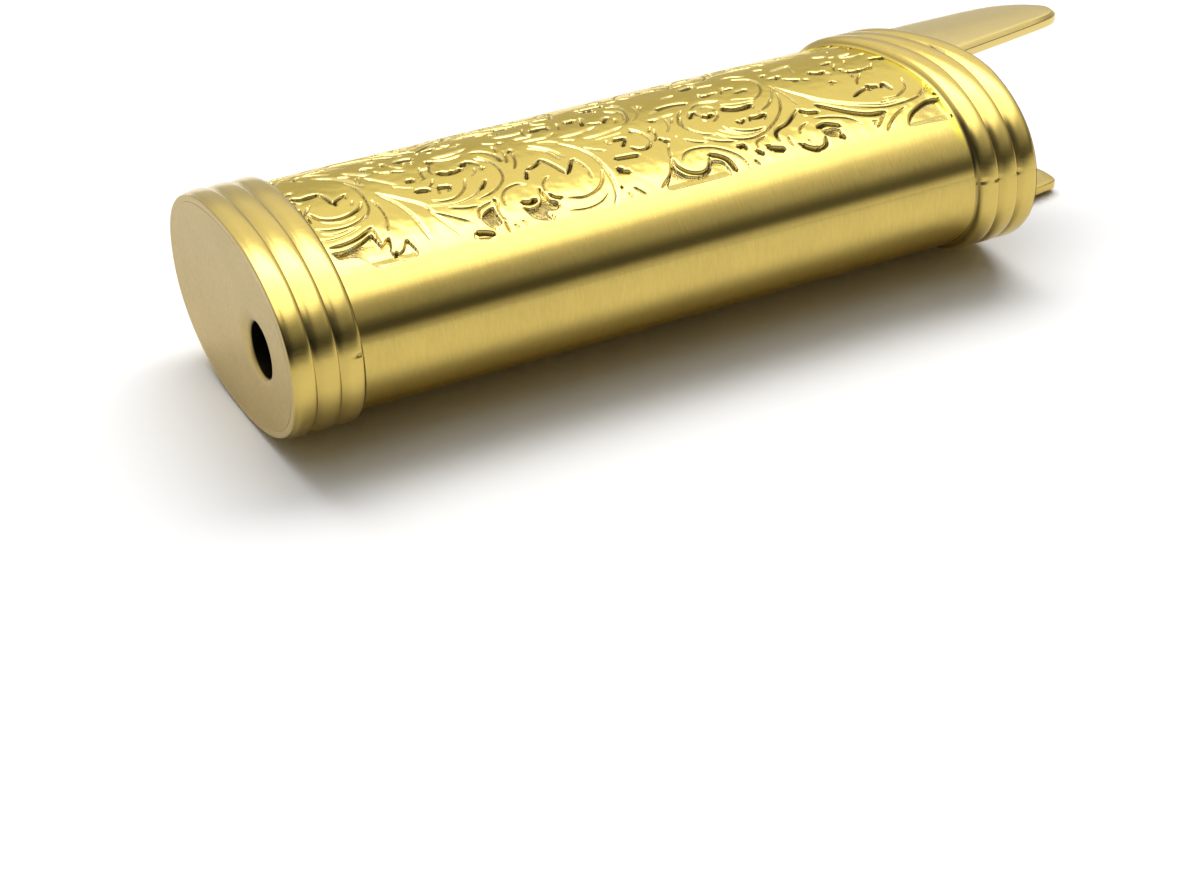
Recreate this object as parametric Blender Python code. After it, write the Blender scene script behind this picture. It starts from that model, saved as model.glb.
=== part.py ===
"""Oval brass case for a pocket lighter, lying on its plain wide face.

A thin oval sleeve carries a ribbed collar at each end. The base collar holds an oval plate with a
push-out hole. The top collar slants down to the thumb side and carries two guard ears. A leaf spring
inside the sleeve grips the lighter.
"""
import math

import bmesh
import bpy

MM = 0.001

# Section of the case, measured over the rib crests of the collars
CREST_WIDTH = 28.6 * MM
CREST_THICKNESS = 18.3 * MM
SECTION_POWER = 2.2
SECTION_FACETS = 96

# Lengths along the case, from the outer face of the base plate
RIM_HEIGHT = 71.1 * MM
EAR_REACH = 12.4 * MM

# Walls and fits
COLLAR_PROUD = 0.7 * MM
SLEEVE_WALL = 0.8 * MM
SEAT_DEPTH = 0.3 * MM
FIT_GAP = 0.3 * MM
CUT_OVERRUN = 1.0 * MM

# Base end
PLATE_THICKNESS = 1.6 * MM
PLATE_STEP = 0.6 * MM
PLATE_EDGE_BREAK = 0.15 * MM
BASE_COLLAR_HEIGHT = 6.2 * MM
PUSH_HOLE_DIAMETER = 4.8 * MM
PUSH_HOLE_OFFSET = 7.0 * MM
PUSH_HOLE_CHAMFER = 0.25 * MM
PUSH_HOLE_FACETS = 40

# Ribs of both collars, from the base side to the top side of each rib:
# shares of the rib's pitch, and shares of the rib's depth below its crest
RIB_COUNT = 3
RIB_DEPTH = 0.22 * MM
RIB_PROFILE_SHARES = ((0.0, 1.0), (0.3, 0.36), (0.7, 0.0), (0.93, 0.12))
RIB_LAST_EDGE_SHARE = 0.6

# Top end: the rim is level on the high narrow side and sweeps down to the thumb side
TOP_COLLAR_HEIGHT = 6.0 * MM
RIM_SWEEP = 4.8 * MM
COLLAR_FOOT_SWEEP = 3.0 * MM
SWEEP_START = 7.2 * MM
LIP_HEIGHT = 1.2 * MM

# Guard ears that rise from the lip of the top collar, one on each wide face
EAR_THICKNESS = 1.1 * MM
EAR_SETBACK = 0.15 * MM
EAR_ROOT_WIDTH = 8.4 * MM
EAR_TIP_WIDTH = 6.4 * MM
EAR_TOWARD_THUMB = 1.2 * MM
EAR_TIP_ROUND = 3.4 * MM
EAR_EDGE_BREAK = 0.22 * MM
EAR_TIP_SHARES = (0.0, 0.4, 0.65, 0.83, 0.94, 0.99)
EAR_BACK_CORNER_POWER = 3.2
EAR_THUMB_CORNER_POWER = 2.0
EAR_COLUMNS = 7

# Leaf spring on the inside of the lower wide wall, with its foot toward the mouth
SPRING_THICKNESS = 0.3 * MM
SPRING_WIDTH = 8.0 * MM
SPRING_END_WIDTH = 5.0 * MM
SPRING_FOOT = 6.0 * MM
SPRING_BLADE = 34.0 * MM
SPRING_LIFT = 0.7 * MM
SPRING_BELOW_RIM = 11.5 * MM
SPRING_COLUMNS = 7
SPRING_STEPS = 12

# Depths below the rib crests
BODY_LEVEL = COLLAR_PROUD
SEAT_LEVEL = BODY_LEVEL + SEAT_DEPTH
COLLAR_BORE_LEVEL = SEAT_LEVEL - FIT_GAP
POCKET_LEVEL = BODY_LEVEL + SLEEVE_WALL
FLOOR_LEVEL = POCKET_LEVEL + FIT_GAP

# Frame: +X from the base plate to the ears, +Y to the thumb side, +Z up through the engraved face
HALF_WIDTH = CREST_WIDTH / 2
HALF_THICKNESS = CREST_THICKNESS / 2
BASE_X = -(RIM_HEIGHT + EAR_REACH) / 2
AXIS_Z = HALF_THICKNESS


def material(name, colour, roughness):
    """A plain metal finish."""
    finish = bpy.data.materials.new(name)
    finish.use_nodes = True
    shader = finish.node_tree.nodes["Principled BSDF"]
    shader.inputs["Base Color"].default_value = (*colour, 1.0)
    shader.inputs["Metallic"].default_value = 1.0
    shader.inputs["Roughness"].default_value = roughness
    return finish


def add_object(name, bm, finish):
    """Finish a mesh with outward faces and smooth curves, and put it in the scene."""
    bmesh.ops.recalc_face_normals(bm, faces=bm.faces)
    mesh = bpy.data.meshes.new(name)
    bm.to_mesh(mesh)
    bm.free()
    mesh.shade_smooth()
    mesh.set_sharp_from_angle(angle=math.radians(30))
    mesh.materials.append(finish)
    thing = bpy.data.objects.new(name, mesh)
    bpy.context.scene.collection.objects.link(thing)
    return thing


def boolean(target, other, operation):
    """Cut or join `target` with a guide object that stays out of the build."""
    other.hide_render = True
    other.display_type = "WIRE"
    change = target.modifiers.new(other.name, "BOOLEAN")
    change.operation = operation
    change.solver = "EXACT"
    change.object = other


def section_height(level, y):
    """Half height of the section at width `y`, `level` below the rib crests."""
    share = min(abs(y) / (HALF_WIDTH - level), 1.0)
    return (HALF_THICKNESS - level) * (1.0 - share ** SECTION_POWER) ** (1.0 / SECTION_POWER)


def section_points(level):
    """Points (y, z) around the oval, with a flat facet at the top, the bottom and each side."""
    points = []
    for index in range(SECTION_FACETS):
        angle = 2 * math.pi * (index + 0.5) / SECTION_FACETS
        across = math.copysign(abs(math.cos(angle)) ** (2 / SECTION_POWER), math.cos(angle))
        upward = math.copysign(abs(math.sin(angle)) ** (2 / SECTION_POWER), math.sin(angle))
        points.append(((HALF_WIDTH - level) * across, AXIS_Z + (HALF_THICKNESS - level) * upward))
    return points


def sweep_share(y):
    """How far the top edge has come down at width `y`: 0 on the high side, 1 on the thumb side."""
    share = (y + SWEEP_START) / (HALF_WIDTH + SWEEP_START)
    share = min(max(share, 0.0), 1.0)
    return share * share * (3 - 2 * share)


def oval_loop(bm, level, height, sweep=0.0):
    """A ring of vertices around the case, `height` from the base and lowered by `sweep`."""
    return [bm.verts.new((BASE_X + height - sweep * sweep_share(y), y, z))
            for y, z in section_points(level)]


def join_loops(bm, loops, closed):
    """Skin a row of equal vertex loops; a closed row meets itself, an open one gets end faces."""
    pairs = list(zip(loops, loops[1:]))
    if closed:
        pairs.append((loops[-1], loops[0]))
    else:
        bm.faces.new(loops[0])
        bm.faces.new(loops[-1])
    for near, far in pairs:
        for index, corner in enumerate(near):
            after = (index + 1) % len(near)
            bm.faces.new((corner, near[after], far[after], far[index]))


def rib_stations(foot, rim, foot_sweep, rim_sweep):
    """(level, height, sweep) of each edge of the ribs between the foot and the rim of a collar."""
    stations = []
    for rib in range(RIB_COUNT):
        for along, depth in RIB_PROFILE_SHARES:
            share = (rib + along) / RIB_COUNT
            stations.append((depth * RIB_DEPTH, foot + share * (rim - foot),
                             foot_sweep + share * (rim_sweep - foot_sweep)))
    stations.append((RIB_LAST_EDGE_SHARE * RIB_DEPTH, rim, rim_sweep))
    return stations


def collar_foot_height():
    return RIM_HEIGHT - TOP_COLLAR_HEIGHT


def plate_ledge_height():
    """Height of the ledge around the plate's raised floor, on which the sleeve stands."""
    return PLATE_THICKNESS - PLATE_STEP


def build_sleeve(finish):
    """Oval tube whose two ends are turned down to seat the collars."""
    start = plate_ledge_height() + FIT_GAP
    base_shoulder = BASE_COLLAR_HEIGHT + FIT_GAP
    top_shoulder = collar_foot_height() - FIT_GAP
    end = RIM_HEIGHT - LIP_HEIGHT - FIT_GAP
    bm = bmesh.new()
    loops = [
        oval_loop(bm, SEAT_LEVEL, start),
        oval_loop(bm, SEAT_LEVEL, base_shoulder),
        oval_loop(bm, BODY_LEVEL, base_shoulder),
        oval_loop(bm, BODY_LEVEL, top_shoulder, COLLAR_FOOT_SWEEP),
        oval_loop(bm, SEAT_LEVEL, top_shoulder, COLLAR_FOOT_SWEEP),
        oval_loop(bm, SEAT_LEVEL, end, RIM_SWEEP),
        oval_loop(bm, POCKET_LEVEL, end, RIM_SWEEP),
        oval_loop(bm, POCKET_LEVEL, start),
    ]
    join_loops(bm, loops, closed=True)
    return add_object("body_sleeve", bm, finish)


def build_base_collar(finish):
    """Ribbed ring around the base end of the sleeve and the edge of the plate."""
    bm = bmesh.new()
    loops = [oval_loop(bm, *station) for station in rib_stations(0.0, BASE_COLLAR_HEIGHT, 0.0, 0.0)]
    loops.append(oval_loop(bm, COLLAR_BORE_LEVEL, BASE_COLLAR_HEIGHT))
    loops.append(oval_loop(bm, COLLAR_BORE_LEVEL, 0.0))
    join_loops(bm, loops, closed=True)
    return add_object("base_collar", bm, finish)


def push_hole_cutter(finish):
    """A round cutter for the push-out hole, flared at the outer face for the broken edge."""
    radius = PUSH_HOLE_DIAMETER / 2
    stations = (
        (-CUT_OVERRUN, radius + PUSH_HOLE_CHAMFER + CUT_OVERRUN),
        (PUSH_HOLE_CHAMFER, radius),
        (PLATE_THICKNESS + CUT_OVERRUN, radius),
    )
    bm = bmesh.new()
    loops = []
    for height, reach in stations:
        ring = []
        for index in range(PUSH_HOLE_FACETS):
            angle = 2 * math.pi * index / PUSH_HOLE_FACETS
            ring.append(bm.verts.new((BASE_X + height, reach * math.cos(angle) - PUSH_HOLE_OFFSET,
                                      AXIS_Z + reach * math.sin(angle))))
        loops.append(ring)
    join_loops(bm, loops, closed=False)
    return add_object("push_hole_cutter", bm, finish)


def build_base_plate(finish):
    """Oval plate inside the base collar, with a raised floor and the push-out hole toward the high side."""
    bm = bmesh.new()
    loops = [
        oval_loop(bm, SEAT_LEVEL + PLATE_EDGE_BREAK, 0.0),
        oval_loop(bm, SEAT_LEVEL, PLATE_EDGE_BREAK),
        oval_loop(bm, SEAT_LEVEL, plate_ledge_height()),
        oval_loop(bm, FLOOR_LEVEL, plate_ledge_height()),
        oval_loop(bm, FLOOR_LEVEL, PLATE_THICKNESS),
    ]
    join_loops(bm, loops, closed=False)
    plate = add_object("base_plate", bm, finish)
    boolean(plate, push_hole_cutter(finish), "DIFFERENCE")
    return plate


def ear_stations():
    """(height, width toward the high side, width toward the thumb side) along an ear."""
    rim_to_round = EAR_REACH - EAR_TIP_ROUND
    stations = [(RIM_HEIGHT, EAR_ROOT_WIDTH / 2, EAR_ROOT_WIDTH / 2)]
    for share in EAR_TIP_SHARES:
        back = (1 - share ** EAR_BACK_CORNER_POWER) ** (1 / EAR_BACK_CORNER_POWER)
        thumb = (1 - share ** EAR_THUMB_CORNER_POWER) ** (1 / EAR_THUMB_CORNER_POWER)
        height = RIM_HEIGHT + rim_to_round + share / EAR_TIP_SHARES[-1] * EAR_TIP_ROUND
        stations.append((height, back * EAR_TIP_WIDTH / 2, thumb * EAR_TIP_WIDTH / 2))
    return stations


def ear_section(back, thumb):
    """Closed outline (y, level) across an ear, with its long edges broken."""
    low = EAR_TOWARD_THUMB - back
    high = EAR_TOWARD_THUMB + thumb
    break_width = min(EAR_EDGE_BREAK, (back + thumb) / 4)
    outer_level = EAR_SETBACK
    inner_level = EAR_SETBACK + EAR_THICKNESS
    columns = [low + break_width + (high - low - 2 * break_width) * index / (EAR_COLUMNS - 1)
               for index in range(EAR_COLUMNS)]
    outline = [(y, outer_level) for y in columns]
    outline.append((high, outer_level + EAR_EDGE_BREAK))
    outline.append((high, inner_level - EAR_EDGE_BREAK))
    outline.extend((y, inner_level) for y in reversed(columns))
    outline.append((low, inner_level - EAR_EDGE_BREAK))
    outline.append((low, outer_level + EAR_EDGE_BREAK))
    return outline


def ear_root_height(y):
    """Height of the ear's buried end: a straight line through the middle of the swept lip."""
    low = EAR_TOWARD_THUMB - EAR_ROOT_WIDTH / 2
    high = EAR_TOWARD_THUMB + EAR_ROOT_WIDTH / 2
    share = (y - low) / (high - low)
    sweep = RIM_SWEEP * (sweep_share(low) + share * (sweep_share(high) - sweep_share(low)))
    return RIM_HEIGHT - LIP_HEIGHT / 2 - sweep


def build_ear(name, side, finish):
    """One guard ear: a tongue that follows the curve of the wide face. `side` is +1 above, -1 below."""
    bm = bmesh.new()
    loops = []
    root = ear_section(EAR_ROOT_WIDTH / 2, EAR_ROOT_WIDTH / 2)
    loops.append([bm.verts.new((BASE_X + ear_root_height(y), y, AXIS_Z + side * section_height(level, y)))
                  for y, level in root])
    for height, back, thumb in ear_stations():
        loops.append([bm.verts.new((BASE_X + height, y, AXIS_Z + side * section_height(level, y)))
                      for y, level in ear_section(back, thumb)])
    join_loops(bm, loops, closed=False)
    return add_object(name, bm, finish)


def build_top_collar(finish):
    """Ribbed ring whose inward lip covers the sleeve's end, with an ear on each wide face."""
    bm = bmesh.new()
    foot = collar_foot_height()
    lip = RIM_HEIGHT - LIP_HEIGHT
    stations = rib_stations(foot, RIM_HEIGHT, COLLAR_FOOT_SWEEP, RIM_SWEEP)
    loops = [oval_loop(bm, *station) for station in stations]
    loops.append(oval_loop(bm, POCKET_LEVEL, RIM_HEIGHT, RIM_SWEEP))
    loops.append(oval_loop(bm, POCKET_LEVEL, lip, RIM_SWEEP))
    loops.append(oval_loop(bm, COLLAR_BORE_LEVEL, lip, RIM_SWEEP))
    loops.append(oval_loop(bm, COLLAR_BORE_LEVEL, foot, COLLAR_FOOT_SWEEP))
    join_loops(bm, loops, closed=True)
    collar = add_object("top_collar", bm, finish)
    boolean(collar, build_ear("upper_ear_guide", 1, finish), "UNION")
    boolean(collar, build_ear("lower_ear_guide", -1, finish), "UNION")
    return collar


def spring_stations():
    """(height, lift from the wall, half width) from the foot, near the mouth, to the free end."""
    foot_start = RIM_HEIGHT - SPRING_BELOW_RIM
    bend = foot_start - SPRING_FOOT
    stations = [(foot_start, 0.0, SPRING_WIDTH / 2), (bend, 0.0, SPRING_WIDTH / 2)]
    for step in range(1, SPRING_STEPS + 1):
        share = step / SPRING_STEPS
        taper = share * share * (SPRING_WIDTH - SPRING_END_WIDTH) / 2
        stations.append((bend - share * SPRING_BLADE, share * SPRING_LIFT, SPRING_WIDTH / 2 - taper))
    return stations


def build_grip_spring(finish):
    """Leaf spring curved to the wall; its blade stands off the wall toward the base."""
    bm = bmesh.new()
    loops = []
    for height, lift, half in spring_stations():
        columns = [half * (2 * index / (SPRING_COLUMNS - 1) - 1) for index in range(SPRING_COLUMNS)]
        under = [(y, AXIS_Z - section_height(POCKET_LEVEL, y) + FIT_GAP + lift) for y in columns]
        over = [(y, z + SPRING_THICKNESS) for y, z in reversed(under)]
        loops.append([bm.verts.new((BASE_X + height, y, z)) for y, z in under + over])
    join_loops(bm, loops, closed=False)
    return add_object("grip_spring", bm, finish)


def main():
    for old in list(bpy.data.objects):
        bpy.data.objects.remove(old, do_unlink=True)
    brushed = material("brushed_brass", (0.80, 0.62, 0.24), 0.30)
    engraved = material("engraved_brass", (0.84, 0.66, 0.30), 0.26)
    matte = material("matte_brass", (0.72, 0.60, 0.36), 0.45)
    spring_metal = material("spring_bronze", (0.66, 0.44, 0.24), 0.35)
    build_sleeve(engraved)
    build_base_collar(brushed)
    build_base_plate(matte)
    build_top_collar(brushed)
    build_grip_spring(spring_metal)


main()
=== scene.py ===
"""Visual model of an oval brass lighter case whose upper wide face is cut with scrollwork.

The construction model is the fixed frame. Every piece here is made in that frame, in metres, and
takes its finish from one of the case's own metals.
"""
import math

import bmesh
import bpy
import numpy as np
from bpy.props import FloatProperty, FloatVectorProperty, PointerProperty
from mathutils import Euler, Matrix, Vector


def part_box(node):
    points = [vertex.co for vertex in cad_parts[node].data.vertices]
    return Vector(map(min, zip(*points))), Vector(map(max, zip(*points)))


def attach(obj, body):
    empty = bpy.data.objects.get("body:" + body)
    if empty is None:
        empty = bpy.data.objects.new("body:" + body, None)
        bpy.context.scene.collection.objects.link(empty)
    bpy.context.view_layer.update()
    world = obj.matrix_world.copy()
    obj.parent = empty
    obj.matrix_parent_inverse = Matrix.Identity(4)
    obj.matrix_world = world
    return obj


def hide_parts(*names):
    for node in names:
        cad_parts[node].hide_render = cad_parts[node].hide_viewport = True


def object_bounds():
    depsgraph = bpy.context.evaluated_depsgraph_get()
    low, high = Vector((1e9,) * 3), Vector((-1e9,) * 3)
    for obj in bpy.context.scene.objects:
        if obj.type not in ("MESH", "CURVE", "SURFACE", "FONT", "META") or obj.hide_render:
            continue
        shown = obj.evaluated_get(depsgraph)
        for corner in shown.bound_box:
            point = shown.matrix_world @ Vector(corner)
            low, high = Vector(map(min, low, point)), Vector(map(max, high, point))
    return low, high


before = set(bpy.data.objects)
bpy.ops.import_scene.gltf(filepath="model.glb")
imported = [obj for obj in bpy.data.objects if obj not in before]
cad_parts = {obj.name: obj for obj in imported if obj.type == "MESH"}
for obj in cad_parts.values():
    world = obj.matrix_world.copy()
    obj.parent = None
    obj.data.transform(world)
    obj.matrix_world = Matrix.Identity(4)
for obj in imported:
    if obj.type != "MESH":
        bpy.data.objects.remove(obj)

bl_info = {
    "name": "Engraved lighter case",
    "version": (1, 0, 0),
    "blender": (4, 5, 0),
    "location": "3D View > Sidebar > Lighter case",
    "description": "Builds an engraved oval brass lighter case around its construction model",
    "category": "Add Mesh",
}

MM = 0.001
CAD_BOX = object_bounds()
COLLAR_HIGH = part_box("top_collar")[1]
BASE_LOW, BASE_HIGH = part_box("base_collar")

# Section of the case, read from the construction model over the collars' crests
SECTION_POWER = 2.2
HALF_WIDTH = (BASE_HIGH.y - BASE_LOW.y) / 2
HALF_THICKNESS = (BASE_HIGH.z - BASE_LOW.z) / 2
AXIS_Z = (BASE_HIGH.z + BASE_LOW.z) / 2
BASE_X = BASE_LOW.x
BASE_COLLAR_HEIGHT = BASE_HIGH.x - BASE_LOW.x
RIM_HEIGHT = 71.1 * MM
EAR_REACH = COLLAR_HIGH.x - BASE_X - RIM_HEIGHT
TOP_COLLAR_HEIGHT = 6.0 * MM
RIM_SWEEP = 4.8 * MM
COLLAR_FOOT_SWEEP = 3.0 * MM
SWEEP_START = 7.2 * MM
LIP_HEIGHT = 1.2 * MM

PUSH_HOLE_RADIUS = 2.4 * MM
PUSH_HOLE_OFFSET = 7.0 * MM
PUSH_HOLE_CHAMFER = 0.25 * MM
PLATE_THICKNESS = 1.6 * MM
PLATE_LEDGE = 1.0 * MM
PLATE_POINTS = 256
# Rounded edge of the hole, outward and down, as shares of its chamfer
HOLE_EDGE = ((0.0, 1.0), (0.5, 0.45), (0.85, 0.12), (1.0, 0.0))
# Rings of the outer face from the hole to the rim, and of the inner face back to the hole
OUTER_SHARES = (0.12, 0.3, 0.5, 0.7, 0.85, 0.95, 0.985)
INNER_SHARES = (0.3, 0.6, 0.85)
INNER_CORNER = 0.1 * MM
# Rings of the plate on the pocket's side, which take the same painted shade as the hole
POCKET_SIDE_RINGS = 9

EAR_THICKNESS = 1.1 * MM
EAR_SETBACK = 0.15 * MM
EAR_INNER_BREAK = 0.12 * MM
EAR_SPINE = (78.5 * MM, 1.4 * MM)

# Ears: upper face 1 or lower face -1, then heights from the base and distances across in turn, in mm
EARS = {
    "upper_guard_ear": (1, (
        68.4, -2.9, 71.2, -2.5, 75.3, -1.85, 79, -1.2, 81.2, -0.75, 82.4, -0.35, 83.1, 0.3, 83.3, 1.1, 83.1,
        1.9, 82.5, 2.7, 81.7, 3.6, 80.4, 4.6, 78.8, 5.4, 77, 5.8, 74, 6, 71.2, 6.1, 68.4, 6.1)),
    "lower_guard_ear": (-1, (
        68.4, -2.9, 71.2, -2.75, 76, -2.45, 80, -2.05, 82, -1.75, 83, -1.45, 83.4, -0.9, 83.5, 0, 83.45,
        0.9, 83.1, 2, 82.3, 3.2, 81, 4.3, 79.2, 5.1, 77, 5.4, 74, 5.5, 71.2, 5.6, 68.4, 5.6)),
}

# Section of an ear: shares of the way out to its edge
EAR_SHARES = (0.0, 0.3, 0.55, 0.75, 0.88)
# Rounded edge of an ear, inward and down, as shares of its break
EAR_EDGE = ((1.0, 0.0), (0.92, 0.02), (0.84, 0.08), (0.12, 0.62), (0.03, 0.71), (0.0, 0.82))
# Where the middle of the edge lies in the thickness
EAR_MIDDLE = 0.6
# Share of paler brass on the upper ear, a painted sheen of the light on its top face
UPPER_EAR_SHEEN = 0.5

# Depths below the crests
BODY_LEVEL = 0.7 * MM
SEAT_LEVEL = 1.0 * MM
PLATE_LEVEL = 0.82 * MM
POCKET_LEVEL = 1.5 * MM

# One rib, from its groove to the next: share of its length, share of its depth
RIB_COUNT = 3
RIB_PROFILE = (
    (0.0, 1.0), (0.03, 0.93), (0.08, 0.77), (0.15, 0.54), (0.22, 0.35), (0.30, 0.21), (0.40, 0.11),
    (0.52, 0.04), (0.65, 0.0), (0.78, 0.01), (0.86, 0.07), (0.915, 0.2), (0.95, 0.42), (0.975, 0.78),
)

# Fillet of solder at the foot of the top collar: depth below the crests, distance ahead of the foot, in mm
TOP_FOOT = ((0.8, -0.24), (0.71, -0.26), (0.67, -0.15), (0.60, -0.06), (0.50, 0.0), (0.40, 0.05))
# Other profiles of the collars beside their ribs, in the same numbers
TOP_RIM = ((0.14, -0.06), (0.22, 0.0), (0.5, 0.0), (1.2, 0.0), (1.36, -0.02), (1.46, -0.08), (1.5, -0.2))
TOP_LIP = ((1.5, 0.01), (0.8, 0.01))
BASE_FOOT = ((0.8, 0.03), (0.74, 0.0), (0.36, 0.0), (0.29, 0.02), (0.24, 0.07))
BASE_RIM = ((0.10, -0.12), (0.16, -0.03), (0.26, 0.0), (0.5, 0.0), (0.8, 0.0))
# The base collar's ribs begin at this height, and its grooves are no deeper than this
BASE_RIBS_FROM = 0.15 * MM
BASE_GROOVE_MOST = 0.2 * MM

# Share of patina on the inner walls of the sleeve and the top collar
INNER_TARNISH = 0.75
LIP_TARNISH = 0.7
# Rings of the top collar that are its lip, and rings of the base collar that are ground with the plate
LIP_RINGS = 6
GROUND_RINGS = 4

# Painted shade on the collars' low side, with grime: place and reach round the case in mm, and its share on
# the ribs
TOP_SHADE_AND_GRIME = (-13.0, 1.5, 0.12)
BASE_SHADE_AND_GRIME = (-14.2, 1.9, 0.15)
# Painted shade and grime in a groove: ring counted from the groove's bottom, and its share there
GROOVE_SHADE_AND_GRIME = ((-2, 0.5), (-1, 0.9), (0, 1.0), (1, 1.0), (2, 0.95), (3, 0.85), (4, 0.6), (5, 0.3))
# How much of the grooves' shade and grime is there all round, and how much more painted shade on the low side
GROOVE_ROUND = 0.12
GROOVE_LOW = 0.8
# Painted shade and grime at the foot of the top collar: where it begins on the low side and how soon it is
# full, in mm
FOOT_SHADE_FROM = -8.5
FOOT_SHADE_FADE = 3.0
# Farther down it is less again: where, how soon, and the share that is left
FOOT_SHADE_END = -16.0
FOOT_SHADE_END_FADE = 1.5
FOOT_SHADE_LEFT = 0.58

# Share of painted shade and grime on the first rings of the top collar, and of dirt on the last rings of the
# base collar
TOP_FOOT_SHADE = (0.5, 0.5, 0.8, 1.0, 1.0, 1.0, 0.7, 0.2)
BASE_RIM_DIRT = (0.3, 0.7, 1.0, 1.0)

# Dents that tools left on the collars: height from the base, place round, length, width, depth, in mm
NICKS = (
    (5.75, -16.5, 1.2, 0.26, 0.18), (65.3, -16.4, 1.5, 0.30, 0.20), (66.8, -16.45, 1.4, 0.28, 0.18),
    (69.0, -16.4, 1.3, 0.30, 0.24), (3.3, -18.4, 1.0, 0.2, 0.08),
)

# Engraved face: the fine part of the sleeve's skin, and how coarse the plain part is
PANEL_HALF_GIRTH = 10.35 * MM
PANEL_STEP_ALONG = 0.07 * MM
PANEL_STEP_ROUND = 0.05 * MM
PLAIN_STEP = 0.45 * MM
SLEEVE_START = 5.4 * MM
SLEEVE_RINGS = 6
INNER_LOOPS = 6
RING_STEP = 0.16 * MM
GIRTH_POINTS = 16001

# From this height the sleeve's rows lean over, until the last one follows the rim
LEAN_START = 58.0 * MM

# Strip beside the top collar where the cuts are shallow, how soon they are full, and their depth in it
FOOT_STRIP = 0.2
FOOT_FADE = 0.55
FOOT_DEPTH = 0.12
# Tone and reach of the painted shade and grime on that strip
FOOT_TONE = 0.75
FOOT_REACH = 0.22

# Painted reflection beside the top collar, a saturated yellow for light bounced between the collar and the
# sleeve: its reach, and where it ends on the low side and how soon, in mm
BOUNCE_REACH = 0.75
BOUNCE_FROM = -13.5
BOUNCE_FADE = 2.0

# Depth at which a cut shows paler brass, partly fresh metal and partly a painted sheen, and how much less of
# it a floor shows
FRESH_DEPTH = 0.06
FLOOR_DULLNESS = 0.8
# Place round the case where its plain side begins
PLAIN_FROM = 9.9
PLAIN_FADE = 0.4

# Clearance between the end of the sleeve and the plate
SEAM = 0.02 * MM

# Gravers: half width of the flat, depth of the wall, reach and depth of the shoulder in mm, patina
GRAVERS = {
    "hair": (0.01, 0.06, 0.20, 0.06, 0.45),
    "line": (0.02, 0.12, 0.26, 0.09, 0.65),
    "deep": (0.07, 0.25, 0.36, 0.15, 1.0),
    "slot": (0.16, 0.36, 0.36, 0.15, 1.0),
    "broad": (0.00, 0.04, 0.38, 0.12, 0.0),
}
WALL_WIDTH = 0.07

# How fast a cut widens from its ends, by its length, and how narrow it is there
SLOT_ENDS = 14
CUT_ENDS = 6
END_SWELL = 0.35
END_REACH = 0.4
END_CURVE = 0.7

# How much wider the cuts are on the far half, and where they widen and how soon
FAR_SPREAD = 0.5
FAR_FROM = 1.0
FAR_FADE = 2.0

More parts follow.
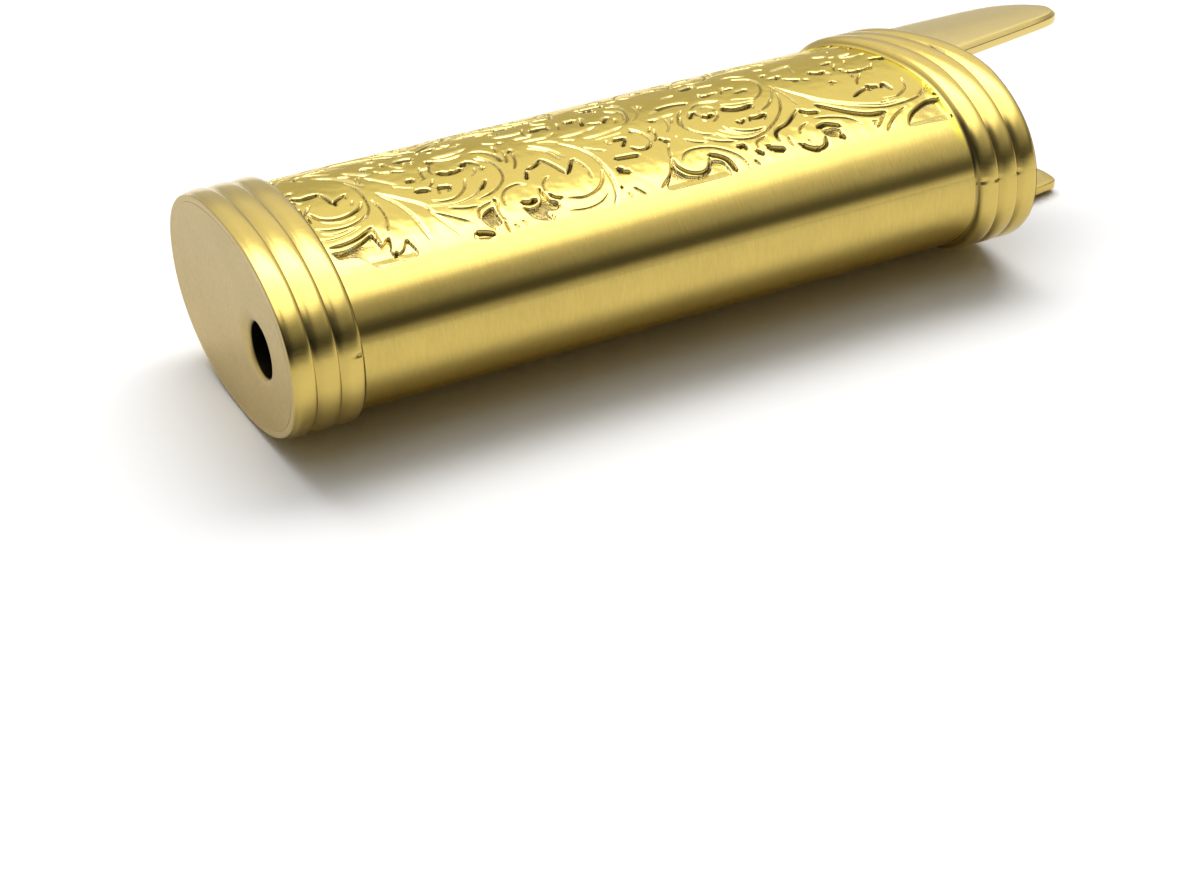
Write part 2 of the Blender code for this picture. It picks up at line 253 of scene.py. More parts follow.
# Cuts of the scrollwork: the graver, then its strokes as places along and round the case in turn, in mm
CUTS = (
    # First scroll, at the base end
    ("hair", (6.3, -5.95, 7.2, -6.25, 8.6, -6.1, 10, -5.6), (6.5, -3.6, 6.9, -2, 7.6, -0.9)),
    ("line", (6.6, -4.6, 7.6, -5.05, 9, -5.2, 10.4, -4.8, 11.2, -4.2),
     (11, -4.7, 11.8, -3.3, 12.1, -1.5, 12.1, 0.2, 11.7, 1.6),
     (12, -6.8, 12.5, -5.2, 12.6, -3.8, 12.4, -2.5), (10.95, -0.4, 10.7, -1.2),
     (9, 4.2, 8.6, 5, 9, 5.9, 10.2, 5.6, 11.4, 4.4)),
    ("deep", (7, -2.2, 7.5, -3.3, 8.6, -3.85, 9.9, -3.7, 11, -3.1, 11.5, -2.4),
     (9.05, 0.7, 9.3, -0.3, 9.4, -1.6), (9.5, -1.9, 9.7, -1.2, 10.3, -0.8, 10.95, -0.4)),
    ("slot", (6.9, 0.6, 8, 0.5, 9, 0.8)),
    ("broad", (9.9, 4.4, 11.2, 3.2, 12.2, 1.6, 12.8, 0.2)),
    # Long leaf between the first two scrolls
    ("hair", (18.4, -9.9, 18.6, -9.35)),
    ("line", (16.3, -6.1, 17.2, -6.8, 18.8, -8.2), (14.9, -1.2, 15.5, -1.8, 16.2, -2.2)),
    ("slot", (18.7, -9.45, 19.4, -9.6, 20.1, -9.95)),
    ("broad", (13.2, -1.5, 14.6, -3.2, 15.9, -4.8, 16.3, -6.2, 17.3, -9),
     (13.2, -1.8, 14, -3.6, 14.6, -6, 14.8, -8.8), (13.5, 1.6, 14.4, 0.3, 15.4, -1.2),
     (12.4, 3.8, 13.4, 2.6, 14.1, 2)),
    # Second scroll
    ("hair", (16, -5.1, 17.2, -5.5, 18.8, -5.7, 20.6, -5.2, 22, -3.8), (25, -1.8, 25.5, -0.8, 25.7, 0.4),
     (21.5, -2.5, 22, -2, 22.2, -1.4), (22.6, -2.1, 22.9, -1.3)),
    ("line", (18.1, -3.2, 17.9, -3.9), (19, -3.3, 18.7, -3.9),
     (16.9, -4.6, 17.7, -5, 18.9, -4.95, 20, -4.1, 20.7, -2.8), (17.8, -6.05, 19, -6.5, 20.2, -6.65),
     (20.6, -5.9, 22.3, -5.3, 23.5, -4.2, 24, -2.8, 24, -1.2, 23.4, 0.4),
     (25.2, -3, 25.8, -1.9, 26.3, -0.3), (15, 2, 15.8, 1.4), (25.9, -0.3, 26.35, 0.35)),
    ("deep", (21.6, -0.7, 22.1, 0, 22.4, -0.6), (16, 1.6, 16.9, 1), (15.9, 3.9, 16, 3),
     (14, 3.7, 14.4, 3.2), (15.1, 4.9, 15.5, 5.1), (19.3, 1.9, 19.8, 1.6),
     (23.1, 1.5, 23.8, 1.3, 24.3, 0.8, 24.7, 0)),
    ("slot", (16.2, -2.8, 17.2, -3.05), (18.2, -3, 19, -3.2), (16.3, -0.8, 16.9, -0.8),
     (19.3, -0.7, 19.9, -1.1, 20.5, -1), (17, 3.3, 17.8, 3.5, 18.5, 3.2), (20.2, 4.5, 21.2, 4.6)),
    ("broad", (19.9, 1.7, 21, 1.3, 22.2, 1.5), (20, 2.3, 21.5, 2.2, 23.2, 2.6)),
    # Small spiral and toothed leaf
    ("hair", (26.6, -8.5, 26.65, -9.1), (27.2, -9.6, 28.8, -9.8, 30.2, -9.5, 31.2, -8.8),
     (22.1, -9.5, 22.4, -10), (22.9, -9.3, 23.2, -9.9)),
    ("line", (22.3, -7.3, 22.5, -6.3, 23.2, -5.5, 24.3, -5.2, 24.9, -5.55),
     (21.9, -6.6, 21.45, -7.6, 21.45, -8.5, 21.7, -8.95), (30.4, -3.8, 30.7, -5.2, 30.6, -6.7),
     (27.2, -5.25, 26.5, -5.8, 26.1, -6.8), (27.7, -8.25, 29, -8.55, 30.4, -8.15, 31.3, -7.3, 31.8, -6.2)),
    ("deep", (26.3, -7.3, 26.7, -7.85, 27.2, -8), (25.4, -4.9, 25.9, -3.8),
     (26, -3.6, 26.9, -3.35, 27.8, -2.6), (27.8, -2.6, 28.3, -3.8, 28.8, -5.4),
     (28.9, -5.5, 29.5, -4.8, 30, -4, 30.4, -3.8)),
    ("slot", (23.7, -7.45, 24.4, -7.7, 25, -7.5)),
    ("broad", (28, 0.1, 29.2, -1.4, 29.8, -3.1),
     (30.4, -0.8, 31.4, -2.2, 32.1, -4.2, 32.2, -7, 31.8, -9, 31.2, -10)),
    # Leaf tips at the middle
    ("hair", (32.8, -9.3, 33, -10), (39.7, -3.2, 40.3, -2.4, 40.6, -1.2), (40.7, -2.1, 41.2, -1.3),
     (33.4, -1.8, 35, -1.7, 36, -1.6), (31.1, -0.4, 31.9, -0.9)),
    ("line", (32, -2.5, 32.5, -3.1, 33.4, -3.75), (33.5, -8.9, 34.2, -9.95),
     (38, -4.1, 38.5, -3.4, 38.8, -2.4), (38.2, -2.6, 38.7, -1.9), (38.9, -4.9, 38.4, -5.9, 38.1, -6.8)),
    ("deep", (35.65, -4.15, 36.1, -4.7, 36.9, -4.75, 37.6, -4.2), (36.8, -1.7, 37.2, -2),
     (38.5, -3.9, 38.9, -4.6), (26.4, 4.6, 26.6, 4.2), (30.2, 5.7, 30.8, 5.6), (34.5, 1.5, 35, 1.2),
     (26, 2.1, 26.4, 1.9), (25.6, 5.5, 25.9, 5), (36.2, 3.9, 36.4, 3.7)),
    ("slot", (33.6, -5.15, 35.7, -5.4), (33.1, -6.7, 33.6, -6.95, 34, -7.15), (34.9, -2.5, 35.9, -2.6),
     (39.2, -0.85, 39.7, -0.95), (27.7, 5.5, 28.5, 5.6, 29.3, 5.5), (29.8, 3.1, 30.5, 3.1, 31.2, 2.9),
     (32.9, 2.9, 33.9, 3), (35.2, 4.7, 36.2, 4.6)),
    ("broad", (37, -1.3, 37.6, -2.4, 37.8, -3.6, 37.4, -4.4), (31, 0.2, 32.8, 0.2, 34.6, 0.6),
     (32.7, -1, 34.2, -1.05, 36.6, -0.6), (26.3, 3.5, 27.9, 3.2, 29, 3.3), (27.5, 2, 29.2, 1.9),
     (28, 1.1, 30, 0.9, 31, 1.4)),
    # Third scroll
    ("hair", (48.6, -3.6, 49.8, -3.1, 51, -1.8, 51.9, -0.2), (43.6, -3.2, 43.4, -2.8)),
    ("line", (42.6, -0.4, 42, -1, 41.4, -2.2, 41.3, -3.3), (40.4, -4.9, 41, -5.5, 42, -6),
     (42.1, -5.4, 43, -6.2, 44.5, -6.8),
     (43.4, -5.2, 44.2, -6.2, 45.6, -6.8, 47.2, -6.65, 49, -5.6, 50.4, -4.2, 51.3, -2.6, 51.7, -1.5),
     (44.9, -5, 45.8, -5.7, 47, -6, 47.8, -5.95), (48.7, -2.4, 48.4, -2.9),
     (45.2, -2.1, 44.9, -2.8, 44.2, -3.4), (47.3, -4.3, 47.1, -4.7), (48.9, -4.3, 48.5, -4.9),
     (36.5, 1.8, 35.9, 1)),
    ("deep", (42.6, -2.1, 43, -1.5, 43.6, -1.15), (46, -4.2, 46.25, -4.55, 46.8, -4.2),
     (45.6, 1.5, 46.3, 1.4), (48, 1.6, 48.9, 1.6), (48.6, 0.5, 49.8, 0.7)),
    ("slot", (43.7, -2.1, 44.1, -2.5, 44.7, -2.2), (46, -1.6, 46.7, -2.2, 47.6, -2.35, 48.7, -2.2),
     (47.3, -4.2, 48, -4.35, 48.9, -4.2), (40.9, 1, 42.4, 1.1, 43.8, 0.75), (44.9, 4.1, 46.4, 4)),
    ("broad", (37, 3.4, 37.8, 2.5), (38.3, 4.6, 38.7, 3.6), (43.9, -0.1, 45, 0.2, 46.4, -0.2)),
    # Spirals along the border
    ("line", (39, -7.3, 39.5, -6.7, 40.5, -6.4, 42, -6.7, 43.2, -7.6, 44, -8.7, 44.3, -10),
     (35.8, -9.65, 36.5, -9.1, 37.2, -8.5, 37.8, -7.5, 38.1, -6.8), (45, -9.3, 45.25, -9.9),
     (46, -8.1, 46.3, -7.4, 47.3, -7.05), (50.4, -7.7, 50.8, -7.1, 51.6, -6.75),
     (52.6, -6.4, 54, -6.75, 55.4, -7.4, 56.3, -8.4)),
    ("deep", (38.2, -7, 38.2, -7.9, 38.8, -8.8, 39.8, -9.2, 40.6, -9, 41.1, -8.4, 41.3, -7.9),
     (45.6, -8.4, 45.9, -8.6, 46, -9),
     (48.2, -7.9, 48.3, -7.1, 48.9, -6.55, 50, -6.15, 51.1, -5.3, 51.8, -4.7),
     (49.7, -8.8, 50.4, -9.6, 51.2, -9.85, 52, -9.6, 52.4, -8.8), (53.6, -9.2, 54, -9)),
    ("slot", (41.4, -7.5, 42.1, -7.85, 42.7, -8.6, 42.9, -9.9), (44.3, -7.45, 45, -7.45),
     (46.8, -8.45, 47.2, -8.55, 48.2, -8.95), (51.9, -4.9, 52.5, -5.45, 53.4, -5.7),
     (52.2, -7.6, 53.1, -7.4, 53.8, -7.7, 54.3, -8.05)),
    # Fourth scroll, at the mouth
    ("hair", (57.4, -8.4, 57.9, -8.6), (59.4, -6.55, 60.1, -6.55), (51.9, 0.2, 52.2, -2, 52.3, -4),
     (56.8, -2.4, 57.4, -1.7)),
    ("line", (59, -7.8, 58.2, -8.6, 57.5, -9.2),
     (53.4, -3, 54.2, -4.2, 55.6, -5.3, 57.4, -6.4, 59.2, -7.1, 61, -7.2, 63, -6.95, 64.6, -6.2),
     (61.2, -6.3, 62.4, -5.6, 62.9, -4.9, 63.1, -4), (59, -3.2, 59.5, -2.4, 60.2, -1.7),
     (61.6, -1.3, 62.3, -0.3), (63.1, -6.8, 64, -6.1, 64.6, -5.2), (64.2, -6.5, 64.7, -6.1),
     (58.2, -9.8, 59, -9, 60, -8.3, 61.1, -7.8), (60.3, 0.9, 60.6, 1.6)),
    ("deep", (57.6, -4.9, 58.4, -4.45, 59.4, -4.1), (60.6, -4.6, 61.15, -3.95), (61.15, -3.95, 61.35, -5.2),
     (64.5, -7.15, 64.8, -7), (54.1, 0.5, 54.8, 0.1), (55.2, -0.2, 55.6, -0.4), (53.2, 1.1, 53.7, 1.8),
     (52.4, 2.4, 52.9, 2.7), (58.3, 1.8, 59.3, 2), (63, 4.3, 63.7, 4.7)),
    ("slot", (53.7, -4.7, 54.2, -5.2, 55.2, -6.1, 56.4, -7, 57.7, -7.6, 59.1, -7.75),
     (59.6, -3.95, 60.1, -4.3), (59.5, -0.75, 60, -1, 60.8, -1), (56.5, 0.9, 57, 0.4, 57.8, 0.4),
     (62.6, 0.6, 63.4, 0.5, 64.1, 0.3)),
    ("broad", (52.2, -0.4, 53, -2, 54.2, -3.8, 55.4, -4.9, 57.4, -6.1, 59.6, -6.85, 61.5, -6.9),
     (58.9, 4.3, 59.9, 3.6), (60.8, 2.9, 62, 2.9)),
    # Far side of the first scroll
    ("hair", (12.85, 2, 12.55, 1.2, 12.45, 0.75), (13.2, 2.05, 13, 1.4, 12.7, 0.8),
     (14.75, 2.55, 15.2, 1.9, 15.8, 1.75), (14.1, 4, 14.6, 3.8, 15.15, 3.35),
     (16.3, 2.95, 16.55, 2.35, 17.1, 1.7), (20.15, 3.8, 20.6, 3.7)),
    ("line", (11.7, 3.1, 12.15, 2.85, 12.55, 2.55), (18.2, 2.65, 18.05, 1.95),
     (21.15, 4.55, 21.6, 4.25, 22.4, 4.4), (19.45, 1.5, 18.95, 0.6, 18.75, -0.05, 18.75, -0.7),
     (19.15, -3.25, 18.95, -3.75), (18.3, -1.6, 17.9, -2.2, 17.7, -2.5, 17.85, -2.8),
     (18.25, 1.05, 17.95, -0.05, 17.85, -0.8, 17.75, -1.05, 17.4, -1.25), (17.6, 2.85, 17.45, 2.1)),
    ("deep", (15.4, 5.05, 15.75, 4.95), (19.2, 2, 19.35, 1.45, 19.75, 1.55)),
    ("slot", (19.15, -0.6, 19.4, -1, 19.85, -1.25, 20.5, -1.15), (18.1, -3.05, 18.55, -3.15, 19.15, -3.25),
     (16.25, -2.8, 16.75, -2.75, 17.1, -2.9, 17.3, -3.2), (16.25, -0.8, 16.5, -0.95, 16.9, -0.9)),
    ("broad", (19.35, 5.1, 20.15, 4.8, 20.95, 4.3), (18.05, 0.8, 18.4, 0.5, 18.9, 0.6)),
    # Far side of the second scroll
    ("hair", (21.9, 4.8, 22.3, 4.55, 22.65, 4.55), (27.2, 5.05, 27.2, 4.5, 26.95, 4.05),
     (24.9, 2.8, 25.3, 2.45, 25.8, 2.1), (30.4, 4.6, 31.55, 3.85), (31, 5.65, 32.4, 5.25),
     (27.9, 6.4, 28.25, 6.4), (28.9, 0.3, 29.95, -0.05, 30.5, -0.65)),
    ("line", (22.3, 3.6, 23.1, 3.85), (25.25, 1.65, 25.3, 1.05, 25.15, 0.4),
     (29.3, 3.95, 28.9, 3.05, 28.85, 2.3, 29.25, 2.05), (32.25, 3.25, 32.15, 2.6, 31.85, 1.85),
     (27.7, -0.35, 28.6, -1.3, 28.95, -2, 29.25, -3.3), (25.65, -0.1, 25.4, -0.95, 25.1, -1.75)),
    ("deep", (23.1, 4, 23.3, 4), (24.6, 0.3, 24.8, -0.35, 24.8, -1, 24.7, -1.35),
     (21.35, -0.7, 21.7, -0.1, 22.3, -0.1, 22.65, -0.6, 22.8, -1.1), (22.85, -1.55, 22.8, -1.85),
     (25.95, -0.15, 26.3, 0.15, 26.3, -0.2), (22.2, -3.65, 21.65, -4.3, 21.25, -4.7)),
    ("slot", (27.35, 5.75, 27.75, 5.5, 28.25, 5.45), (19.25, -1, 19.9, -1.25, 20.5, -1.2, 21.25, -0.95),
     (31, 2.6, 31.15, 2.55), (29.65, 3.15, 29.95, 2.95, 30.4, 2.95), (33.15, 3.25, 33.35, 2.7)),
    ("broad", (22.95, 0.2, 23.35, -0.2, 23.85, -0.9)),
    # Far side of the middle leaves
    ("hair", (39.5, 2.8, 39.35, 1.65, 38.7, 0.65, 38.1, 0.05),
     (37.95, 2.8, 38.1, 2.05, 37.85, 1.2, 37.45, 0.5), (40.1, 2.35, 39.65, 1.45)),
    ("line", (37.65, 4.3, 38.35, 3.9, 38.5, 2.8, 38.2, 1.4, 37.8, 0.5, 37.1, -0.15),
     (36.9, 1.3, 36.85, 0.8, 36.55, 0.4), (42.45, 2.9, 43.2, 3.1, 43.75, 3.15), (34.9, -2.5, 34.8, -2.8),
     (34.2, -2.25, 34.2, -2.75, 34.35, -3.05), (39.95, 2.75, 39.75, 1.95), (31.55, -0.65, 31.9, -0.95),
     (35.2, 5.65, 35.6, 5.55)),
    ("deep", (35.75, 0.9, 36.05, 1.55, 36.45, 1.85, 36.55, 1.5), (41.6, 7, 41.75, 6.4, 41.85, 6.05),
     (43.05, 6.5, 43.55, 6.1), (34.4, 1.5, 35, 1.25, 35.5, 1.1), (34.5, 3.15, 34.2, 2.2, 33.85, 1.4),
     (35.85, -2.7, 35.5, -3.2, 35.1, -3.75)),
    ("slot", (35.85, 4.65, 36.2, 4.6, 36.5, 4.65), (32.9, 2.95, 33.35, 2.9, 33.85, 2.9),
     (33.15, -6.4, 33.55, -6.75)),
    ("broad", (39.95, 0.4, 41.45, 0.9, 42.7, 1.05, 43.95, 0.8),
     (39.15, -0.65, 40, -0.75, 40.9, -0.6, 41.7, -0.6)),
    # Far side of the third scroll
    ("hair", (49.3, 4.35, 49.95, 4.5, 50.7, 4.15, 51.3, 3.55),
     (43.85, -4.9, 44.65, -5.6, 45.55, -6.2, 46.95, -6.35, 47.95, -6.2),
     (44.45, -4.5, 44.8, -5.35, 45.9, -5.95, 46.95, -6.15), (55.85, 3.4, 55.45, 2.35, 55.3, 1.45),
     (43.15, -0.95, 42.6, -1.65)),
    ("line", (46.5, 4.55, 46.5, 3.7, 47, 3.6, 47.85, 3.45),
     (43.5, -0.55, 44.1, -0.05, 44.95, 0.15, 46.25, -0.3),
     (44.3, -0.75, 44.95, -0.8, 45.25, -1.3, 45.15, -1.7),
     (49.95, 3.5, 50.6, 3.05, 51.2, 2.45, 51.35, 1.25, 51, 0.15, 50.3, -0.8, 49.3, -1.55),
     (47.45, 0.95, 47.95, 1.8, 48.3, 2.15), (47.5, -0.65, 48.4, -1.05, 49.3, -1.35),
     (46.2, -1.05, 47.05, -1.45, 48, -1.7, 49.1, -1.75),
     (41.9, -1.5, 41.5, -2.6, 41.55, -3.75, 42.3, -4.8, 43.35, -5.35), (52.85, 4.6, 53.6, 4.25),
     (50.7, -2.05, 50, -2.85, 49, -3.5)),
    ("deep", (45.65, 1.95, 45.75, 1.25, 46.6, 1.45, 47.25, 1.45),
     (42.55, -2.1, 42.95, -1.55, 43.4, -1.25, 43.55, -1.8, 43.75, -2.1), (48, 1.6, 48.45, 1.6, 48.9, 1.45),
     (48.55, 0.5, 49, 0.5, 49.45, 0.6), (52.55, 1.6, 53.05, 1.6, 53.4, 1.55),
     (53.55, 1.65, 53.7, 1.65, 53.55, 1.25), (53.75, 0.9, 54.35, 0.3, 54.95, 0.05),
     (55.3, -0.3, 55.6, -0.45)),
    ("slot", (45.05, 4.1, 45.65, 4.2, 46.4, 4.35), (43.7, -2.1, 44.15, -2.45, 44.75, -2.3),
     (49.5, 0.55, 49.75, 0.45), (45.8, -1.85, 46.6, -2.4, 47.5, -2.55, 48.5, -2.4),
     (54.3, 0.15, 54.75, -0.1)),
    ("broad", (53.85, 3.25, 55.05, 3.5, 56, 3.65)),
    # Far side of the fourth scroll
    ("hair", (61.9, 6.6, 61.55, 5.4), (60.85, 4.9, 60.65, 3.95), (59.95, 3.15, 60.4, 2.95),
     (64.05, 9.2, 62.5, 6.3), (63.3, 6.15, 62.65, 4.65)),
    ("line", (62.6, 3.95, 63, 4.35, 63.55, 4.5, 63.95, 4.5, 64.15, 3.9, 64, 3.2),
     (61.1, 2.2, 61.95, 2, 63, 2.1), (60.7, 2.5, 61.1, 2.2), (57.65, 0.2, 57.9, -0.1, 57.9, -0.5),
     (59.4, 1.35, 58.95, 0.7, 58.65, 0), (59.6, -1.1, 59.5, -1.5, 59.35, -1.9),
     (62.2, -0.35, 61.85, -0.85, 61.5, -1.2)),
    ("deep", (58.35, 1.85, 58.9, 1.8, 59.4, 2), (59.2, 0.15, 59.25, -0.55, 59.55, -0.85),
     (60.75, -1.05, 61.5, -0.95, 61.95, -0.8), (59.55, -4.3, 59.45, -4.6)),
    ("slot", (63.4, 0.35, 64, 0.1), (56.5, 0.95, 56.65, 0.5, 57.15, 0.2, 57.6, 0.3),
     (57.3, -1.8, 57.1, -2.1), (59.6, -3.75, 59.8, -4.05, 60.5, -4.3),
     (53.7, -9.05, 53.9, -9.25, 53.9, -9.45)),
    # Turned leaf at the mouth
    ("line", (60.85, -9.9, 61.4, -9.9, 62.15, -9.9, 62.6, -9.9), (62.7, -9.8, 63.3, -9.9, 63.95, -9.95),
     (64.6, -5.2, 64.5, -5.7, 64, -6.25, 63.25, -6.7)),
    ("deep",
     (60.5, -9.75, 60.85, -9.25, 61.4, -8.7, 62.2, -8.25, 63.2, -7.85, 64.1, -7.75, 64.8, -7.9, 65.2,
      -7.95), (64.6, -7.1, 64.85, -7.15)),
    ("slot", (64.7, -9.9, 64.9, -9.95)),
    # Near side, first scroll
    ("hair", (7.4, -3.8, 8.15, -4.25, 9.15, -4.5, 10.15, -4.25),
     (6.8, -5.35, 7.5, -5.7, 8.35, -5.75, 9.45, -5.5), (10.95, -1.8, 10.65, -2.45)),
    ("line", (6.55, 0.6, 6.75, 0.05, 7.15, -0.35), (6.55, -1.05, 6.5, -1.6, 6.35, -2.05),
     (7.3, -1.15, 6.8, -1.9, 6.55, -2.35, 6.65, -2.9, 6.65, -3.6)),
    ("deep", (6.65, 1.85, 7, 2.1, 7.2, 2),
     (6.85, -7.1, 7.7, -7.1, 8.55, -7, 9.45, -6.75, 10.35, -6.3, 10.85, -5.95)),
    ("slot", (6.7, 1, 7.45, 0.65, 8.15, 0.75, 8.9, 0.75)),
    # Near side, long leaf and second scroll
    ("hair", (18.65, -9.95, 19.3, -10.15, 19.95, -10.2)),
    ("line", (10.8, -6.05, 10.9, -6.35, 10.85, -7.3, 10.95, -8.05),
     (21.45, -6.5, 20.15, -6.95, 19.8, -7.55, 19.65, -8)),
    ("deep", (21.6, -6.4, 21.8, -6.45)),
    ("slot", (11.5, -9.35, 11.7, -9.45)),
    # Near side, spiral and toothed leaf
    ("hair", (25.55, -9.5, 25.55, -9.95, 25.75, -9.75)),
    ("line", (21.5, -8.95, 21.45, -9.35, 21.45, -10.1)),
    ("deep", (26.2, -8.3, 26.55, -8.5), (25.55, -8.8, 26.3, -8.95)),
    # Near side, leaf tips at the middle
    ("hair", (39.9, -4.25, 40, -4.35)),
    ("deep", (32.45, -8.55, 32.55, -8.6)),
    ("slot", (38.8, -4.35, 39.05, -4.7)),
    # Near side, third scroll
    ("hair", (51.8, -5.7, 52.15, -5.9), (52.55, -8.05, 53.15, -8.15, 53.55, -8.4, 53.6, -8.85),
     (50.7, -8.65, 50.95, -8.9)),
    ("line", (49.2, -7.8, 49.1, -8.3, 49.1, -8.8), (42.25, -9.75, 42.2, -10.15)),
    ("deep", (45, -7.5, 44.85, -7.95)),
    ("slot", (49.9, -9, 50.3, -9.45, 50.85, -9.8, 51.3, -9.8), (46.85, -8.35, 47.1, -8.15),
     (47.15, -8.7, 48.05, -9.05), (45.65, -8.5, 45.8, -8.55), (46, -8.65, 45.95, -8.95)),
    # Near side, fourth scroll
    ("hair", (59.85, -6.1, 60.6, -6.25, 61.4, -6.2, 62.2, -5.85), (57.75, -8.45, 57.4, -8.9)),
    # Short strokes along the far border
    ("hair", (19.25, 4.1, 19.55, 4.2), (24, 6.25, 24.4, 6.6), (38.2, 10.35, 37.9, 8.05),
     (42.6, 6.8, 43.05, 6.6)),
    ("line", (17.25, 6.4, 18.05, 5.85), (17.95, 5, 18.45, 5), (22.1, 7, 22.8, 7), (26.3, 5.4, 26.4, 4.85),
     (37.55, 6.2, 37.65, 5.7), (38.45, 5.85, 39.3, 5.7), (39.85, 6.1, 40.7, 5.6), (45.2, 7.15, 45.8, 7.05),
     (45.05, 5.6, 46, 5.65), (49.1, 9.2, 49.65, 9.15), (51, 7.55, 51.4, 7.4), (52.15, 7.4, 52.65, 6.9),
     (54.2, 5.95, 54.6, 5.8), (56.5, 6.75, 56.9, 6.75)),
)

# Sunk grounds between the leaves along the near border, their corners in the same numbers
POCKETS = (
    (6.75, -7.75, 7.8, -7.8, 8.7, -7.6, 9.55, -7.25, 10.25, -6.85, 10.5, -6.8, 10.55, -6.85, 10.65, -7.5,
     10.75, -8.1, 10.9, -8.15, 11.5, -7.7, 11.7, -7.65, 11.5, -8.5, 11.3, -8.9, 11.4, -9.4, 11.65, -9.5,
     12.35, -9.15, 12.85, -8.4, 13, -8.3, 13.1, -8.6, 13.3, -9.95, 12.1, -10.15, 10.75, -10.2, 9.8, -10.2,
     9.4, -9.85, 8.95, -9.05, 8.25, -8.6, 7.45, -8.5, 7.05, -8.45),
    (20, -7.75, 20.55, -7.4, 21.15, -7.2, 21.2, -7.8, 21.15, -8.25, 21.15, -8.95, 20.5, -9.15, 20.25, -8.8,
     20.35, -9.45, 19.95, -8.7, 19.85, -8.15),
    (23.6, -8.1, 24.1, -8.35, 24.8, -8.25, 25.4, -7.75, 25.7, -6.75, 25.85, -6.4, 25.95, -7.1, 26.05,
     -7.95, 26.5, -8.3, 26.35, -8.9, 25.4, -8.95, 25.15, -9.4, 25.3, -10, 24.4, -9.65, 23.95, -9.15),
    (36.4, -9.5, 36.95, -8.85, 37.75, -7.75, 37.9, -8.3, 38.3, -9.05, 39, -9.4, 39.95, -9.45, 40.75, -9.1,
     41.35, -8.25, 42.1, -8.55, 42.3, -9.15, 42.2, -10.05, 40.1, -10.15, 37.9, -10.15, 36.45, -10.1),
    (52.5, -8.1, 53.7, -8.1, 54, -8.6, 53.6, -9, 53, -8.9, 52.6, -8.6),
    (60.5, -9.9, 60.8, -9.2, 61.6, -8.5, 62.8, -8, 64.2, -7.75, 65.6, -7.8, 65.6, -10.1),
)
POCKET_DEPTH = 0.36
POCKET_BORDER_DEPTH = 0.12
POCKET_SHOULDER = 0.30
POCKET_SHOULDER_DEPTH = 0.10
POCKET_BORDER = 10.1
POCKET_BORDER_SLOPE = 2.6
POCKET_BORDER_CURVE = 0.7
# Shoulder of a sunk ground beside the border: its least share, and how many times sooner it is whole
SHOULDER_LEAST = 0.15
SHOULDER_GAIN = 4

# How far the tarnish of a sunk ground fades in, and how far inside its edge the floor begins
GROUND_FADE = 0.16
FLOOR_INSET = 0.10
FLOOR_FADE = 0.12
# Dark crease round a sunk ground
CREASE_TONE = 0.6
CREASE_WIDTH = 0.08

# Strokes of the near border lie below this place round, and are turned for the far border
FAR_BORDER_FROM = -4.4
# Twice the place along the case of the middle of the face, about which they are turned
PANEL_TURN_SUM = 71.3

# Least share of tarnish on the sunk grounds
GROUND_TARNISH = 0.12
# Darker stains on them: place along the case, place round it and reach, in mm
STAINS = ((7.9, -8.0, 1.7), (20.6, -8.2, 1.5), (25.0, -8.6, 2.0), (53.0, -8.5, 0.9), (37.9, -8.6, 0.8))

# Painted shade: what is left of the red, green and blue on the base plate's lower part, which is darker and
# yellower towards the bottom
LOWER_PLATE_SHADE_SHARES = (0.95, 0.925, 0.79)
# Heights on the plate where this painted shade begins and where it is full
LOWER_PLATE_SHADE_HEIGHTS = (12.0 * MM, 6.0 * MM)

# Colour that the metals keep at grazing angles
EDGE_TINT = (0.93, 0.84, 0.58)
# Paler colour of the upper ear, a painted sheen of the light on its top face
UPPER_EAR_SHEEN_COLOUR = (0.84, 0.665, 0.283)
# Roughness of matte and tarnished places
MATTE_ROUGHNESS = 0.42

# Clouded tone of the metals: size of a cloud in mm, and its tints
CLOUD_SIZE = 4.0
CLOUD_TINTS = (0.955, 1.035)
# Tints of streaks and pits, and how far the brushed lines spread the roughness
STREAK_TINT = 0.62
PIT_TINT = 0.35
ROUGH_SPREAD = (0.82, 1.22)
# Cells along a metre that can hold a pit, and the edge of a pit as shares of a cell
PIT_SCALE = 420.0
PIT_EDGE = (0.05, 0.03)
# How much of the brushed lines is left on the engraved face
FAINT_BRUSH = 0.3

# Punch marks along a metre of sunk ground, and their depth in mm
PUNCH_SCALE = 5200.0
PUNCH_DEPTH = 0.03
# Size and depth of the swells that working left in the engraved face, in mm
SWELL_SIZE = 1.5
SWELL_DEPTH = 0.065

# Grey levels of the studio by the upward part of the direction, before and behind the case
FRONT_LEVELS = (
    (0.0, 0.66), (0.10, 0.41), (0.18, 0.170), (0.24, 0.082), (0.36, 0.090), (0.47, 0.185), (0.55, 0.325),
    (0.64, 0.450), (0.72, 0.555), (0.79, 0.797), (0.84, 0.906))
BACK_LEVELS = ((0.0, 0.55), (0.12, 0.58), (0.30, 0.58), (0.42, 0.78), (0.50, 0.95), (0.60, 1.0))
# Shares of the front levels by the part of the direction along the case, and their gain
ALONG_LEVELS = ((0.0, 0.47), (0.33, 0.53), (0.40, 0.65), (0.45, 0.69), (0.53, 0.96), (0.62, 0.96),
                (0.76, 0.667))
ALONG_GAIN = 1.5

# Where the front of the studio turns into its back
FIELD_FADE = (-0.45, 0.45)
# Soft box overhead: upward parts of the direction that it fades in between, and its gain
BOX_FADE = (0.80, 0.90)
BOX_GAIN = 3.1
# Parts of the direction behind the case that the box grows between, and by how much
BOX_BEHIND = (-0.05, 0.25)
BOX_GROWTH = 0.55
# Strength of the studio, and its strength for diffuse rays
STUDIO_STRENGTH = (1.2, 0.31)

